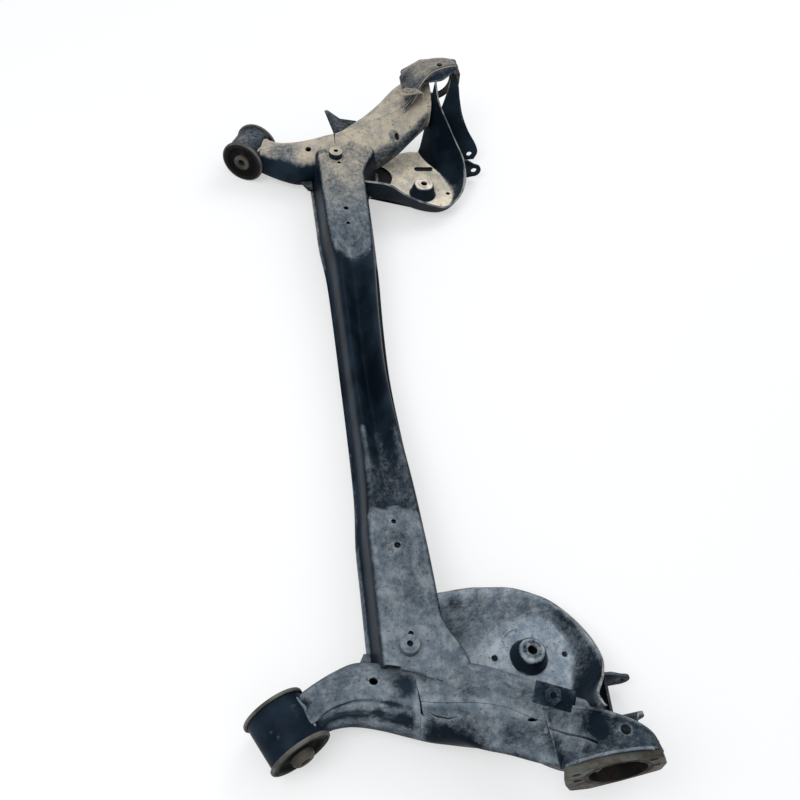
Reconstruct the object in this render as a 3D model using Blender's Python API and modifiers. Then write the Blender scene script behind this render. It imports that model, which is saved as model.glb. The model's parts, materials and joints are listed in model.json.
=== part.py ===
"""Twist-beam rear axle of a small car: a pressed crossbeam, two trailing arms, spring pans, hub plates and bushes.

Metres, +Z up, +Y towards the front of the car, +X to its right. The axle lies as it rests on a floor, on the
flanges of its bushes and the floors of its spring pans. Each piece is modelled on the right in the axle's own
frame, with y = 0 on the bush centres, and the left one is its mirror image.
"""

import math

import bmesh
import bpy
import numpy as np
from mathutils import Matrix, Vector

# General
TOUCH_GAP = 0.0003          # between pieces that touch
ARM_SHEET = 0.004           # wall of the arm tube and its rear shells
BEAM_SHEET = 0.0045         # wall of the crossbeam
PAN_SHEET = 0.0035          # wall of the spring pans
PLATE = 0.004               # wall of the hub carriers, straps and ears

# Bush, on a level axis that toes outwards to the rear
BUSH_SPACING = 1.100        # between the two bush centres
BUSH_TOE = math.radians(28)
BUSH_LENGTH = 0.058         # housing tube
HOUSING_RADIUS = 0.037
HOUSING_WALL = 0.0037
FLANGE_RADIUS = 0.0405
FLANGE_THICKNESS = 0.0045
SLEEVE_WALL = 0.0025
CORE_RADIUS = 0.0150
CORE_TIP_RADIUS = 0.0120
CORE_BORE_RADIUS = 0.0065
CORE_PROUD_OUTBOARD = 0.009
CORE_PROUD_INBOARD = 0.003
RUBBER_GROOVE = 0.004

# Crossbeam
BEAM_Y = -0.158             # centre line of its pads
BEAM_END_X = 0.527          # end of the tongue on the arm
BEAM_LIP_Z = 0.018          # lowest edge
BEAM_TOP_Z = 0.0875         # top of the pads at the arms
BEAM_MID_TOP_Z = 0.070      # top of the shoulders at mid span
# Its lips: distance from mid span, y of the front one and of the rear one
BEAM_LIPS = (
    (-0.110, -0.1185, -0.2020),
    (0.000, -0.1185, -0.1985),
    (0.110, -0.1185, -0.2020),
    (0.220, -0.1170, -0.2085),
    (0.300, -0.1110, -0.2115),
    (0.360, -0.1100, -0.2135),
    (0.450, -0.1085, -0.2150),
    (0.560, -0.1070, -0.2155),
)
# Places along it where its mesh has a row of points
BEAM_PLACES = (
    0.0, 0.04, 0.08, 0.12, 0.16, 0.195, 0.225, 0.24, 0.255, 0.27, 0.285, 0.30, 0.32, 0.36, 0.42, 0.47, 0.50, BEAM_END_X,
)
PAD_END_X = 0.277           # rounded end of each pad
PAD_END_ROUND = 0.020
TROUGH_STEP = 0.010         # drop just past the pad
TROUGH_STEP_LENGTH = 0.040
TROUGH_DEPTH = 0.018        # further drop at mid span
TROUGH_RUN = 0.150
# Plan outline of the tongue that lies on the arm, outboard of it all is cut off
TONGUE = (
    (0.489, -0.09), (0.497, -0.124), (0.504, -0.148), (0.509, -0.162),
    (0.5215, -0.183), (0.512, -0.2005), (0.492, -0.206), (0.492, -0.24),
)
BEAM_HOLES = ((0.298, 0.0035), (0.335, 0.0045), (0.460, 0.0035))  # x, radius
BOSS_X = 0.478
BOSS_Y = -0.153
BOSS_RADIUS = 0.0125
BOSS_HEIGHT = 0.012
BOSS_BORE_RADIUS = 0.004

# Trailing arm: y, x, z of the centre, yaw of the section, then its reach inboard, outboard, up and down,
# and the place of its outboard top corner
ARM_SECTIONS = (
    (-0.0200, 0.5393, 0.0405, -28, 0.027, 0.027, 0.0290, 0.0290, 0.019, 0.0200),
    (-0.0430, 0.5255, 0.0405, -20, 0.028, 0.029, 0.0315, 0.0315, 0.020, 0.0220),
    (-0.0670, 0.5175, 0.0405, -9, 0.033, 0.033, 0.0350, 0.0350, 0.023, 0.0250),
    (-0.0900, 0.5145, 0.0405, -3, 0.038, 0.038, 0.0380, 0.0370, 0.027, 0.0270),
    (-0.1180, 0.5200, 0.0415, 0, 0.040, 0.040, 0.0385, 0.0380, 0.028, 0.0275),
    (-0.1450, 0.5275, 0.0430, 0, 0.043, 0.043, 0.0385, 0.0385, 0.031, 0.0280),
    (-0.1700, 0.5340, 0.0450, 0, 0.046, 0.046, 0.0390, 0.0390, 0.034, 0.0290),
    (-0.1950, 0.5400, 0.0500, 0, 0.050, 0.048, 0.0420, 0.0420, 0.044, 0.0300),
    (-0.2220, 0.5465, 0.0560, 0, 0.052, 0.050, 0.0460, 0.0450, 0.057, 0.0300),
    (-0.2500, 0.5560, 0.0640, 0, 0.050, 0.049, 0.0440, 0.0450, 0.064, 0.0380),
    (-0.2800, 0.5730, 0.0750, 0, 0.050, 0.048, 0.0360, 0.0430, 0.067, 0.0480),
    (-0.3100, 0.5930, 0.0900, 0, 0.047, 0.050, 0.0330, 0.0410, 0.057, 0.0460),
    (-0.3425, 0.6150, 0.1060, 0, 0.043, 0.038, 0.0400, 0.0410, 0.037, 0.0380),
)
# Places along the arm where its mesh has a ring of points, in front of the lap and behind it
FRONT_PLACES = (-0.020, -0.031, -0.043, -0.055, -0.067, -0.078, -0.090, -0.104, -0.118, -0.132, -0.145)
REAR_PLACES = (
    -0.157, -0.170, -0.183, -0.196, -0.209, -0.222, -0.236, -0.250, -0.265, -0.280, -0.295, -0.310, -0.326, -0.3425,
)
RIDGE_SHIFT = 0.010         # of the seam from the crown of the arm, outboard
ARM_SPLIT_Y = REAR_PLACES[0]    # where the rear shells lap over the front tube
ARM_LAP = 0.026
LAP_CLEARANCE = 0.0014      # more than the touch gap, as the lap flares
ARM_HOLE = (0.512, -0.106, 0.0055)

# Spring pan
SEAT_X = 0.471
SEAT_Y = -0.325
SEAT_HOLE_RADIUS = 0.0065
SEAT_TOP_RADIUS = 0.017
SEAT_FOOT_RADIUS = 0.027
SEAT_RING_RADIUS = 0.038
SEAT_HEIGHT = 0.030
PAN_HOLES = ((0.468, -0.279, 0.0045), (0.471, -0.375, 0.0040))
PAN_SLOT = (0.545, -0.338, 0.0065, 0.024)   # x, y, half width, length between its round ends
PAN_OPENING = (0.521, -0.236, 0.036)
# Foot of the wall (x, y), then its rim (x, y, z), anticlockwise from the crossbeam
PAN_OUTLINE = (
    (0.466, -0.2030, 0.410, -0.2000, 0.0870),
    (0.460, -0.2420, 0.404, -0.2440, 0.0830),
    (0.449, -0.2780, 0.397, -0.2750, 0.0665),
    (0.430, -0.3100, 0.393, -0.3090, 0.0515),
    (0.422, -0.3420, 0.399, -0.3480, 0.0350),
    (0.432, -0.3660, 0.413, -0.3700, 0.0315),
    (0.451, -0.3770, 0.440, -0.3910, 0.0340),
    (0.474, -0.3790, 0.472, -0.4030, 0.0430),
    (0.500, -0.3750, 0.503, -0.4010, 0.0620),
    (0.528, -0.3680, 0.530, -0.3900, 0.0780),
    (0.550, -0.3560, 0.551, -0.3730, 0.1060),
    (0.568, -0.3460, 0.573, -0.3550, 0.1370),
    (0.590, -0.3380, 0.592, -0.3490, 0.1590),
    (0.612, -0.3340, 0.613, -0.3470, 0.1760),
    (0.650, -0.3300, 0.651, -0.3400, 0.1500),
    (0.690, -0.3100, 0.691, -0.3200, 0.0600),
)
PAN_FLOOR_EDGE = (
    (0.695, -0.280), (0.680, -0.240), (0.640, -0.202), (0.580, -0.200), (0.545, -0.201), (0.512, -0.202), (0.494, -0.203),
)
PAN_TRIM = (
    (0.562, -0.15), (0.566, -0.20), (0.577, -0.24), (0.588, -0.28),
    (0.599, -0.315), (0.601, -0.42), (0.72, -0.42), (0.72, -0.15),
)

# Hub plates: outline of the flange and its bolt holes, as (y, z)
HUB_Y = -0.357
HUB_Z = 0.1325
HUB_BORE_RADIUS = 0.0335
FLANGE_FACE_X = 0.6545      # inner face of the flange
HUB_PLATE_THICKNESS = 0.008
FLANGE_OUTLINE = (
    (-0.292, 0.148), (-0.327, 0.172), (-0.366, 0.177), (-0.397, 0.174), (-0.410, 0.146),
    (-0.411, 0.122), (-0.372, 0.095), (-0.338, 0.077), (-0.315, 0.077), (-0.304, 0.100),
)
FLANGE_CORNER = 0.006
HUB_BOLTS = ((-0.307, 0.138), (-0.314, 0.115), (-0.389, 0.171), (-0.398, 0.144))
HUB_BOLT_RADIUS = 0.0050
# Inboard and outboard edge of the carrier, front to rear, and how far its inboard edge is bent down
CARRIER_ROWS = (
    ((0.576, -0.292, 0.1215), (0.6560, -0.290, 0.139), 0.003),
    ((0.583, -0.306, 0.137), (0.6560, -0.296, 0.151), 0.003),
    ((0.596, -0.325, 0.165), (0.6560, -0.309, 0.165), 0.005),
    ((0.607, -0.343, 0.1785), (0.6560, -0.330, 0.175), 0.020),
    ((0.619, -0.367, 0.1810), (0.6560, -0.362, 0.181), 0.026),
    ((0.630, -0.385, 0.1780), (0.6560, -0.388, 0.178), 0.016),
    ((0.639, -0.396, 0.1700), (0.6560, -0.402, 0.166), 0.006),
    ((0.6425, -0.399, 0.1580), (0.6560, -0.407, 0.148), 0.003),
)
CARRIER_HOLE = (0.632, -0.360, 0.0060)

# Damper mount: a long strap from the hub and a short ear on the pan, with one bolt line through both
DAMPER_Y = -0.4320
DAMPER_Z = 0.0235
DAMPER_BOLT_RADIUS = 0.0055
EAR_X = 0.5165
EAR_RADIUS = 0.0140
EAR_HEIGHT = 0.048
WEB_Y = -0.4080
STRAP_ROWS = (
    ((0.6504, -0.374, 0.162), (0.6504, -0.3950, 0.145)),
    ((0.6390, -0.372, 0.136), (0.6450, -0.4060, 0.129)),
    ((0.6180, -0.366, 0.106), (0.6220, -0.4090, 0.112)),
    ((0.5990, -0.362, 0.080), (0.5970, -0.4130, 0.093)),
    ((0.5830, -0.361, 0.056), (0.5790, -0.4250, 0.070)),
    ((0.5740, -0.364, 0.036), (0.5700, -0.4410, 0.047)),
    ((0.5690, -0.375, 0.020), (0.5680, -0.4480, 0.029)),
    ((0.5680, -0.395, 0.006), (0.5675, -0.4430, 0.012)),
)

# Small brackets
HOSE_PLATE = (0.578, -0.2950, 0.1518)
HOSE_PLATE_SIZE = (0.027, 0.034, 0.003)
HOSE_PLATE_TILT = math.radians(14)
HOSE_NUT_RADIUS = 0.0085
HOSE_NUT_HEIGHT = 0.007
GUSSET_CORNERS = ((0.5000, -0.080), (0.4560, -0.1040), (0.4560, -0.1120), (0.5000, -0.1120))
GUSSET_Z = 0.024
CABLE_FOOT = (0.569, -0.160, 0.067)
CABLE_ALONG = (0.016, -0.046, 0.010)
CABLE_OUT = (0.72, 0.0, 0.69)
CABLE_OUTLINE = ((0.000, -0.012), (0.000, 0.048), (0.006, 0.047), (0.022, 0.024), (0.050, 0.009), (0.050, -0.012))
CABLE_SHEET = 0.0025

STEEL_DARK = (0.030, 0.040, 0.055)
STEEL_GREY = (0.150, 0.165, 0.180)
STEEL_DUSTY = (0.330, 0.310, 0.270)
STEEL_BARE = (0.220, 0.205, 0.180)
RUBBER_BLACK = (0.012, 0.012, 0.013)


def clear_scene():
    for item in list(bpy.data.objects):
        bpy.data.objects.remove(item)


def new_collection(name, hidden=False):
    group = bpy.data.collections.new(name)
    bpy.context.scene.collection.children.link(group)
    group.hide_render = hidden
    return group


def paint(name, colour, roughness, metallic):
    material = bpy.data.materials.new(name)
    material.use_nodes = True
    shader = material.node_tree.nodes["Principled BSDF"]
    shader.inputs["Base Color"].default_value = (*colour, 1)
    shader.inputs["Roughness"].default_value = roughness
    shader.inputs["Metallic"].default_value = metallic
    return material


def ease(value):
    """A smooth step from 0 to 1."""
    value = min(max(value, 0.0), 1.0)
    return value * value * (3 - 2 * value)


def through(points, per_span, closed=False):
    """Points on a smooth curve through the given ones."""
    points = [np.array(point, float) for point in points]
    count = len(points)
    result = []
    for i in range(count if closed else count - 1):
        if closed:
            a, b, c, d = (points[(i + k) % count] for k in (-1, 0, 1, 2))
        else:
            b, c = points[i], points[i + 1]
            a = points[i - 1] if i else 2 * b - c
            d = points[i + 2] if i + 2 < count else 2 * c - b
        for step in range(per_span):
            t = step / per_span
            result.append(b + 0.5 * t * (c - a + t * (2 * a - 5 * b + 4 * c - d + t * (3 * (b - c) + d - a))))
    if not closed:
        result.append(points[-1])
    return result


def add_object(name, mesh, material, group):
    item = bpy.data.objects.new(name, mesh)
    group.objects.link(item)
    if material:
        mesh.materials.append(material)
    return item


def surface(name, rows, material, wrap_rows=False, wrap_columns=False):
    """A sheet through rows of points. Its normal is the way across a row crossed with the way down the rows."""
    across = len(rows[0])
    faces = []
    for r in range(len(rows) - (0 if wrap_rows else 1)):
        s = (r + 1) % len(rows)
        for c in range(across - (0 if wrap_columns else 1)):
            d = (c + 1) % across
            faces.append((r * across + c, r * across + d, s * across + d, s * across + c))
    mesh = bpy.data.meshes.new(name)
    mesh.from_pydata([tuple(point) for row in rows for point in row], [], faces)
    mesh.validate()
    mesh.shade_smooth()
    return add_object(name, mesh, material, PARTS)


def thicken(item, thickness, even=True):
    """Gives a sheet its wall, on the side that its normal leaves."""
    sheet = item.modifiers.new("sheet", "SOLIDIFY")
    sheet.thickness = thickness
    sheet.offset = -1
    sheet.use_even_offset = even


def cut(item, *cutters):
    for cutter in cutters:
        hole = item.modifiers.new(cutter.name, "BOOLEAN")
        hole.operation = "DIFFERENCE"
        hole.object = cutter


def join(item, other):
    union = item.modifiers.new(other.name, "BOOLEAN")
    union.operation = "UNION"
    union.object = other


def as_cutter(item):
    for group in list(item.users_collection):
        group.objects.unlink(item)
    CUTTERS.objects.link(item)
    item.display_type = "WIRE"
    item.hide_render = True
    return item


def cylinder(name, radius, start, end, material=None, segments=24):
    """A solid cylinder from one point to another."""
    start, end = Vector(start), Vector(end)
    mesh = bpy.data.meshes.new(name)
    work = bmesh.new()
    bmesh.ops.create_cone(
        work, cap_ends=True, segments=segments, radius1=radius, radius2=radius, depth=(end - start).length
    )
    work.to_mesh(mesh)
    work.free()
    turn = (end - start).to_track_quat("Z", "Y").to_matrix().to_4x4()
    mesh.transform(Matrix.Translation((start + end) / 2) @ turn)
    return add_object(name, mesh, material, PARTS)


def drill(name, radius, start, end, segments=24):
    return as_cutter(cylinder(name, radius, start, end, segments=segments))


def prism(name, corners, offset, material):
    """A plate between a flat outline and the same outline moved by the offset."""
    mesh = bpy.data.meshes.new(name)
    work = bmesh.new()
    face = work.faces.new([work.verts.new(corner) for corner in corners])
    made = bmesh.ops.extrude_face_region(work, geom=[face])
    moved = [element for element in made["geom"] if isinstance(element, bmesh.types.BMVert)]
    bmesh.ops.translate(work, vec=offset, verts=moved)
    bmesh.ops.recalc_face_normals(work, faces=work.faces)
    work.to_mesh(mesh)
    work.free()
    return add_object(name, mesh, material, PARTS)


def rounded(corners, radius, steps=4):
    """An outline in two dimensions with an arc at each corner."""
    result = []
    for i, corner in enumerate(corners):
        corner = np.array(corner)
        back = np.array(corners[i - 1]) - corner
        on = np.array(corners[(i + 1) % len(corners)]) - corner
        back, on = back / np.linalg.norm(back), on / np.linalg.norm(on)
        half = math.acos(float(np.dot(back, on))) / 2
        middle = (back + on) / np.linalg.norm(back + on)
        centre = corner + middle * radius / math.sin(half)
        first = corner + back * radius / math.tan(half) - centre
        last = corner + on * radius / math.tan(half) - centre
        sweep = math.acos(float(np.dot(first, last)) / radius**2)
        for k in range(steps + 1):
            share = k / steps
            blend = (math.sin((1 - share) * sweep) * first + math.sin(share * sweep) * last) / math.sin(sweep)
            result.append(tuple(centre + blend))
    return result


def turned(name, profile, material, segments=32):
    """A turned piece on the bush axis. Its closed profile is (distance outboard, radius), outer side first, going inboard."""
    mesh = bpy.data.meshes.new(name)
    count = len(profile)
    edges = [(i, (i + 1) % count) for i in range(count)]
    mesh.from_pydata([(radius, 0, along) for along, radius in profile], edges, [])
    item = add_object(name, mesh, material, PARTS)
    spin = item.modifiers.new("turn", "SCREW")
    spin.steps = segments
    spin.render_steps = segments
    spin.use_merge_vertices = True
    spin.merge_threshold = 0.0001
    item.matrix_world = BUSH_FRAME
    return item


def arm_section(row, grow=0.0):
    """The eight guide points of one section of the arm, from the seam on its crown, inboard, down and back outboard."""
    y, x, z, yaw, inboard, outboard, up, down, corner_out, corner_up = row
    inboard, outboard, up, down = inboard + grow, outboard + grow, up + grow, down + grow
    corner_out, corner_up = corner_out + 0.7 * grow, corner_up + 0.7 * grow
    round_off = 0.72
    points = (
        (RIDGE_SHIFT, up),
        (-round_off * inboard, round_off * up),
        (-inboard, 0.0),
        (-round_off * inboard, -round_off * down),
        (0.0, -down),
        (round_off * outboard, -round_off * down),
        (outboard, 0.0),
        (corner_out, corner_up),
    )
    side = (math.cos(math.radians(yaw)), math.sin(math.radians(yaw)))
    return [(x + out * side[0], y + out * side[1], z + rise) for out, rise in points]


def arm_ring(y, grow=0.0):
    """The section of the arm at one place along it, as a closed ring of points."""
    line = through(ARM_SECTIONS, 8)
    before = max(i for i, row in enumerate(line[:-1]) if row[0] >= y - 1e-9)
    start, end = line[before], line[before + 1]
    share = (start[0] - y) / (start[0] - end[0])
    return through(arm_section(start + share * (end - start), grow), 3, closed=True)


def inset(ring, distance):
    """A ring of the rear arm drawn in, in its own plane."""
    result = []
    for i, point in enumerate(ring):
        before, after = point - ring[i - 1], ring[(i + 1) % len(ring)] - point
        before, after = before / np.linalg.norm(before), after / np.linalg.norm(after)
        inward = np.cross(before + after, (0.0, 1.0, 0.0))
        half = np.linalg.norm(before + after) / 2
        result.append(point + inward / np.linalg.norm(inward) * distance / half)
    return result


def beam_lips(x):
    """The y of the front and the rear lip at one place along the crossbeam."""
    line = through(BEAM_LIPS, 8)
    for near, far in zip(line, line[1:]):
        if abs(x) <= far[0] and abs(x) >= near[0]:
            share = (abs(x) - near[0]) / (far[0] - near[0])
            return [near[k] + share * (far[k] - near[k]) for k in (1, 2)]
    return BEAM_LIPS[-1][1:]


def trough(x, y, across):
    """How deep the crossbeam is pressed in. The share across is 0 on its centre line and 1 at a shoulder."""
    end = PAD_END_X + PAD_END_ROUND * across**2
    step = TROUGH_STEP * ease((end - abs(x)) / TROUGH_STEP_LENGTH)
    run = TROUGH_DEPTH * ease((end - TROUGH_STEP_LENGTH - abs(x)) / TROUGH_RUN)
    return (step + run) * (1 - ease(across * 1.02))


def beam_section(x):
    """The outer side of the crossbeam at one place along it, from the front lip over the top to the rear lip."""
    front, rear = beam_lips(x)
    lip = BEAM_LIP_Z
    top = BEAM_MID_TOP_Z + (BEAM_TOP_Z - BEAM_MID_TOP_Z) * ease(abs(x) / 0.37)
    front_shoulder = front - 0.0165
    rear_shoulder = rear + 0.0185
    middle = (front_shoulder + rear_shoulder) / 2
    points = [
        (front, lip),
        (front - 0.0035, lip + 0.002),
        (front - 0.0065, lip + 0.008),
        (front - 0.0080, (lip + top) / 2),
        (front - 0.0100, top - 0.014),
        (front - 0.0125, top - 0.005),
        (front_shoulder, top - 0.001),
    ]
    for share in (-0.86, -0.66, -0.46, -0.24, 0.0, 0.24, 0.46, 0.66, 0.86):
        y = middle - share * (front_shoulder - rear_shoulder) / 2
        points.append((y, top - trough(x, y, abs(share))))
    points += [
        (rear_shoulder, top - 0.001),
        (rear + 0.0140, top - 0.006),
        (rear + 0.0115, top - 0.015),
        (rear + 0.0090, (lip + top) / 2),
        (rear + 0.0070, lip + 0.008),
        (rear + 0.0040, lip + 0.002),
        (rear, lip),
    ]
    return [(x, y, z) for y, z in points]


def pan_rows(per_span):
    """Profiles of the pan from its seat hole out to its rim, one for each direction from the seat."""
    level = [(x, y, x + 0.06 * (x - SEAT_X), y + 0.06 * (y - SEAT_Y), PAN_SHEET + 0.0015) for x, y in PAN_FLOOR_EDGE]
    rows = []
    for foot_x, foot_y, rim_x, rim_y, rim_z in [*through(PAN_OUTLINE, per_span), *level]:
        reach = math.hypot(foot_x - SEAT_X, foot_y - SEAT_Y)
        way = ((foot_x - SEAT_X) / reach, (foot_y - SEAT_Y) / reach)
        profile = [
            (SEAT_HOLE_RADIUS, SEAT_HEIGHT),
            (SEAT_TOP_RADIUS - 0.002, SEAT_HEIGHT),
            (SEAT_TOP_RADIUS + 0.002, SEAT_HEIGHT - 0.003),
            (SEAT_FOOT_RADIUS - 0.003, PAN_SHEET + 0.005),
            (SEAT_FOOT_RADIUS + 0.001, PAN_SHEET),
            (SEAT_RING_RADIUS, PAN_SHEET),
            (SEAT_RING_RADIUS + 0.002, PAN_SHEET + 0.0015),
        ]
        row = [(SEAT_X + way[0] * radius, SEAT_Y + way[1] * radius, z) for radius, z in profile]
        floor_z = PAN_SHEET + 0.0015
        rise = rim_z - floor_z
        start = np.array((SEAT_X + way[0] * (SEAT_RING_RADIUS + 0.002), SEAT_Y + way[1] * (SEAT_RING_RADIUS + 0.002)))
        foot = np.array((foot_x, foot_y))
        rim = np.array((rim_x, rim_y))
        for share in (0.45, 0.88):
            row.append((*(start + share * (foot - start)), floor_z))
        for share, height in ((0.10, 0.06), (0.32, 0.24), (0.65, 0.60), (1.0, 1.0)):
            place = foot + share * (rim - foot)
            row.append((*place, floor_z + height * rise))
        rows.append(row)
    return rows


def sheet_strip(name, edges, thickness, material, per_span=2, across=4):
    """A bent strip between two edges, thickened below."""
    rows = []
    for pair in through([(*first, *second) for first, second in edges], per_span):
        first, second = pair[:3], pair[3:]
        rows.append([first + (second - first) * k / across for k in range(across + 1)])
    item = surface(name, rows, material)
    thicken(item, thickness)
    return item


def build_crossbeam():
    places = sorted({sign * x for sign in (1, -1) for x in BEAM_PLACES})
    beam = surface("crossbeam", [beam_section(x) for x in places], paint("beam_paint", STEEL_DARK, 0.35, 0.3))
    thicken(beam, BEAM_SHEET)
    cut(beam, *ARM_ENVELOPES)
    for side in (1, -1):
        corners = [(side * x, y, -0.02) for x, y in (*TONGUE, (0.58, -0.24), (0.58, -0.09))]
        cut(beam, as_cutter(prism(f"tongue_trim_{side}", corners, (0, 0, 0.14), None)))
    for side in (1, -1):
        for x, radius in BEAM_HOLES:
            name = f"beam_drill_{round(side * x * 1000)}"
            cut(beam, drill(name, radius, (side * x, BEAM_Y, 0.05), (side * x, BEAM_Y, 0.12), 16))


def build_boss():
    foot = BEAM_TOP_Z + TOUCH_GAP
    boss = cylinder("right_beam_boss", BOSS_RADIUS, (BOSS_X, BOSS_Y, foot), (BOSS_X, BOSS_Y, foot + BOSS_HEIGHT),
                    paint("boss_steel", STEEL_GREY, 0.6, 0.4))
    cut(boss, drill("boss_drill", BOSS_BORE_RADIUS, (BOSS_X, BOSS_Y, foot + 0.004), (BOSS_X, BOSS_Y, foot + 0.03), 16))
    bevel = boss.modifiers.new("edge", "BEVEL")
    bevel.width = 0.0012
    bevel.segments = 1
    boss.modifiers.move(1, 0)


def capped(item):
    """Closes both ends of a tube of faces and makes it a cutter."""
    work = bmesh.new()
    work.from_mesh(item.data)
    bmesh.ops.holes_fill(work, edges=[edge for edge in work.edges if edge.is_boundary], sides=0)
    bmesh.ops.recalc_face_normals(work, faces=work.faces)
    work.to_mesh(item.data)
    work.free()
    return as_cutter(item)


def build_arm_envelopes():
    rows = [arm_ring(y, TOUCH_GAP) for y in (*FRONT_PLACES, *REAR_PLACES)]
    right = capped(surface("arm_envelope", rows, None, wrap_columns=True))
    return right, as_cutter(mirror_of(right, "arm_envelope_left"))


def build_flange_space():
    """All of the space outboard of the flange's inner face."""
    x = FLANGE_FACE_X - TOUCH_GAP
    corners = [(x, HUB_Y + y, HUB_Z + z) for y, z in ((-0.12, -0.12), (0.12, -0.12), (0.12, 0.12), (-0.12, 0.12))]
    return as_cutter(prism("flange_space", corners, (0.05, 0, 0), None))


def build_beam_envelope():
    """The crossbeam and its hollow as one solid, with the gap all round."""
    rows = []
    for x in (0.30, 0.36, 0.42, 0.46, 0.50, 0.56):
        line = beam_section(x)
        row = [(x, y + TOUCH_GAP * (1 if y > BEAM_Y else -1), z + TOUCH_GAP) for x, y, z in line]
        low = line[0][2] - BEAM_SHEET - TOUCH_GAP
        rows.append([(x, row[0][1], low), *row, (x, row[-1][1], low)])
    return capped(surface("beam_envelope", rows, None, wrap_columns=True))


def build_arm():
    paint_arm = paint("arm_paint", STEEL_GREY, 0.6, 0.2)
    rings = [arm_ring(y) for y in (*FRONT_PLACES, ARM_SPLIT_Y + 0.0055)]
    lap = (ARM_SPLIT_Y + 0.0025, *[y for y in REAR_PLACES[1:] if y >= ARM_SPLIT_Y - ARM_LAP])
    rings += [inset(arm_ring(y), ARM_SHEET + LAP_CLEARANCE) for y in lap]
    front = surface("right_front_arm", rings, paint_arm, wrap_columns=True)
    thicken(front, ARM_SHEET)
    reach = Vector((math.cos(BUSH_TOE), -math.sin(BUSH_TOE), 0)) * 0.09
    centre = BUSH_FRAME.translation
    cut(front, drill("bush_clearance", HOUSING_RADIUS + TOUCH_GAP, centre - reach, centre + reach, 48))
    x, y, radius = ARM_HOLE
    cut(front, drill("arm_drill", radius, (x, y, 0.06), (x, y, 0.1), 16))

    shell_rows = [arm_ring(y) for y in REAR_PLACES]
    for name, side, colour in (("right_arm_inner_shell", -1, STEEL_DUSTY), ("right_arm_outer_shell", 1, STEEL_GREY)):
        shell = surface(name, shell_rows, paint(f"{name}_paint", colour, 0.7, 0.2), wrap_columns=True)
        thicken(shell, ARM_SHEET)
        cut(shell, beside_seam(f"{name}_trim", shell_rows, -side))
    cut(shell, FLANGE_SPACE)


def beside_seam(name, rings, side):
    """All of the space on one side of the arm's two seams, as a cutter."""
    out = np.array((side, 0.0, 0.0))
    rows = []
    for i, ring in enumerate(rings):
        crown, foot = np.array(ring[0]), np.array(ring[len(ring) // 2])
        beyond = np.array((0.0, 0.01 * ((i == 0) - (i == len(rings) - 1)), 0.0))
        up = 0.02 * (crown - foot) / np.linalg.norm(crown - foot)
        start = -out * TOUCH_GAP / 2 + beyond
        top, bottom = crown + up + start, foot - up + start
        rows.append([top, top + 0.1 * out, bottom + 0.1 * out, bottom])
    return capped(surface(name, rows, None, wrap_columns=True))


def build_bush():
    half = BUSH_LENGTH / 2
    housing_in = HOUSING_RADIUS - HOUSING_WALL
    sleeve_out = housing_in - TOUCH_GAP
    sleeve_in = sleeve_out - SLEEVE_WALL
    flange_start = half + TOUCH_GAP
    flange_end = flange_start + FLANGE_THICKNESS
    turned("right_bush_housing", [
        (half, HOUSING_RADIUS), (-half, HOUSING_RADIUS), (-half, housing_in), (half, housing_in),
    ], paint("housing_paint", STEEL_DARK, 0.45, 0.3))
    turned("right_bush_sleeve", [
        (flange_end, FLANGE_RADIUS - 0.001), (flange_end - 0.001, FLANGE_RADIUS), (flange_start, FLANGE_RADIUS),
        (flange_start, sleeve_out), (-flange_end, sleeve_out), (-flange_end, sleeve_in), (flange_end, sleeve_in),
    ], paint("sleeve_metal", STEEL_BARE, 0.65, 0.3))
    ring_in = sleeve_out + TOUCH_GAP
    turned("right_bush_end_ring", [
        (-flange_start, FLANGE_RADIUS), (-flange_end + 0.001, FLANGE_RADIUS), (-flange_end, FLANGE_RADIUS - 0.001),
        (-flange_end, ring_in), (-flange_start, ring_in),
    ], paint("ring_metal", STEEL_BARE, 0.65, 0.3))
    rubber_out = sleeve_in - TOUCH_GAP
    rubber_in = CORE_RADIUS + TOUCH_GAP
    middle = (rubber_out + rubber_in) / 2
    face = flange_end - 0.001
    turned("right_bush_rubber", [
        (face, rubber_out), (-face, rubber_out), (-face + RUBBER_GROOVE, middle), (-face, rubber_in),
        (face, rubber_in), (face - RUBBER_GROOVE, middle),
    ], paint("rubber", RUBBER_BLACK, 0.85, 0.0))
    outer_tip = flange_end + CORE_PROUD_OUTBOARD
    inner_tip = -flange_end - CORE_PROUD_INBOARD
    turned("right_bush_core", [
        (outer_tip, CORE_TIP_RADIUS), (outer_tip - 0.004, CORE_RADIUS), (inner_tip, CORE_RADIUS),
        (inner_tip, CORE_BORE_RADIUS), (outer_tip, CORE_BORE_RADIUS),
    ], paint("core_metal", STEEL_BARE, 0.5, 0.7))


def build_spring_pan():
    pan = surface("right_spring_pan", pan_rows(2), paint("pan_paint", STEEL_DUSTY, 0.8, 0.1), wrap_rows=True)
    thicken(pan, PAN_SHEET, even=False)
    trim = as_cutter(prism("pan_trim", [(x, y, -0.02) for x, y in PAN_TRIM], (0, 0, 0.24), None))
    cut(pan, trim, BEAM_ENVELOPE, ARM_ENVELOPES[0])
    for i, (x, y, radius) in enumerate(PAN_HOLES):
        cut(pan, drill(f"pan_drill_{i}", radius, (x, y, -0.02), (x, y, 0.03), 12))
    x, y, radius = PAN_OPENING
    cut(pan, drill("pan_opening", radius, (x, y, -0.02), (x, y, 0.03), 24))
    x, y, half, length = PAN_SLOT
    ends = [(x + half * math.cos(a), y + (0.5 - (a > math.pi - 1e-6)) * length + half * math.sin(a), -0.02)
            for a in [math.pi * k / 5 for k in range(6)] + [math.pi * (1 + k / 5) + 1e-5 for k in range(6)]]
    cut(pan, as_cutter(prism("pan_slot", ends, (0, 0, 0.05), None)))


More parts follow.
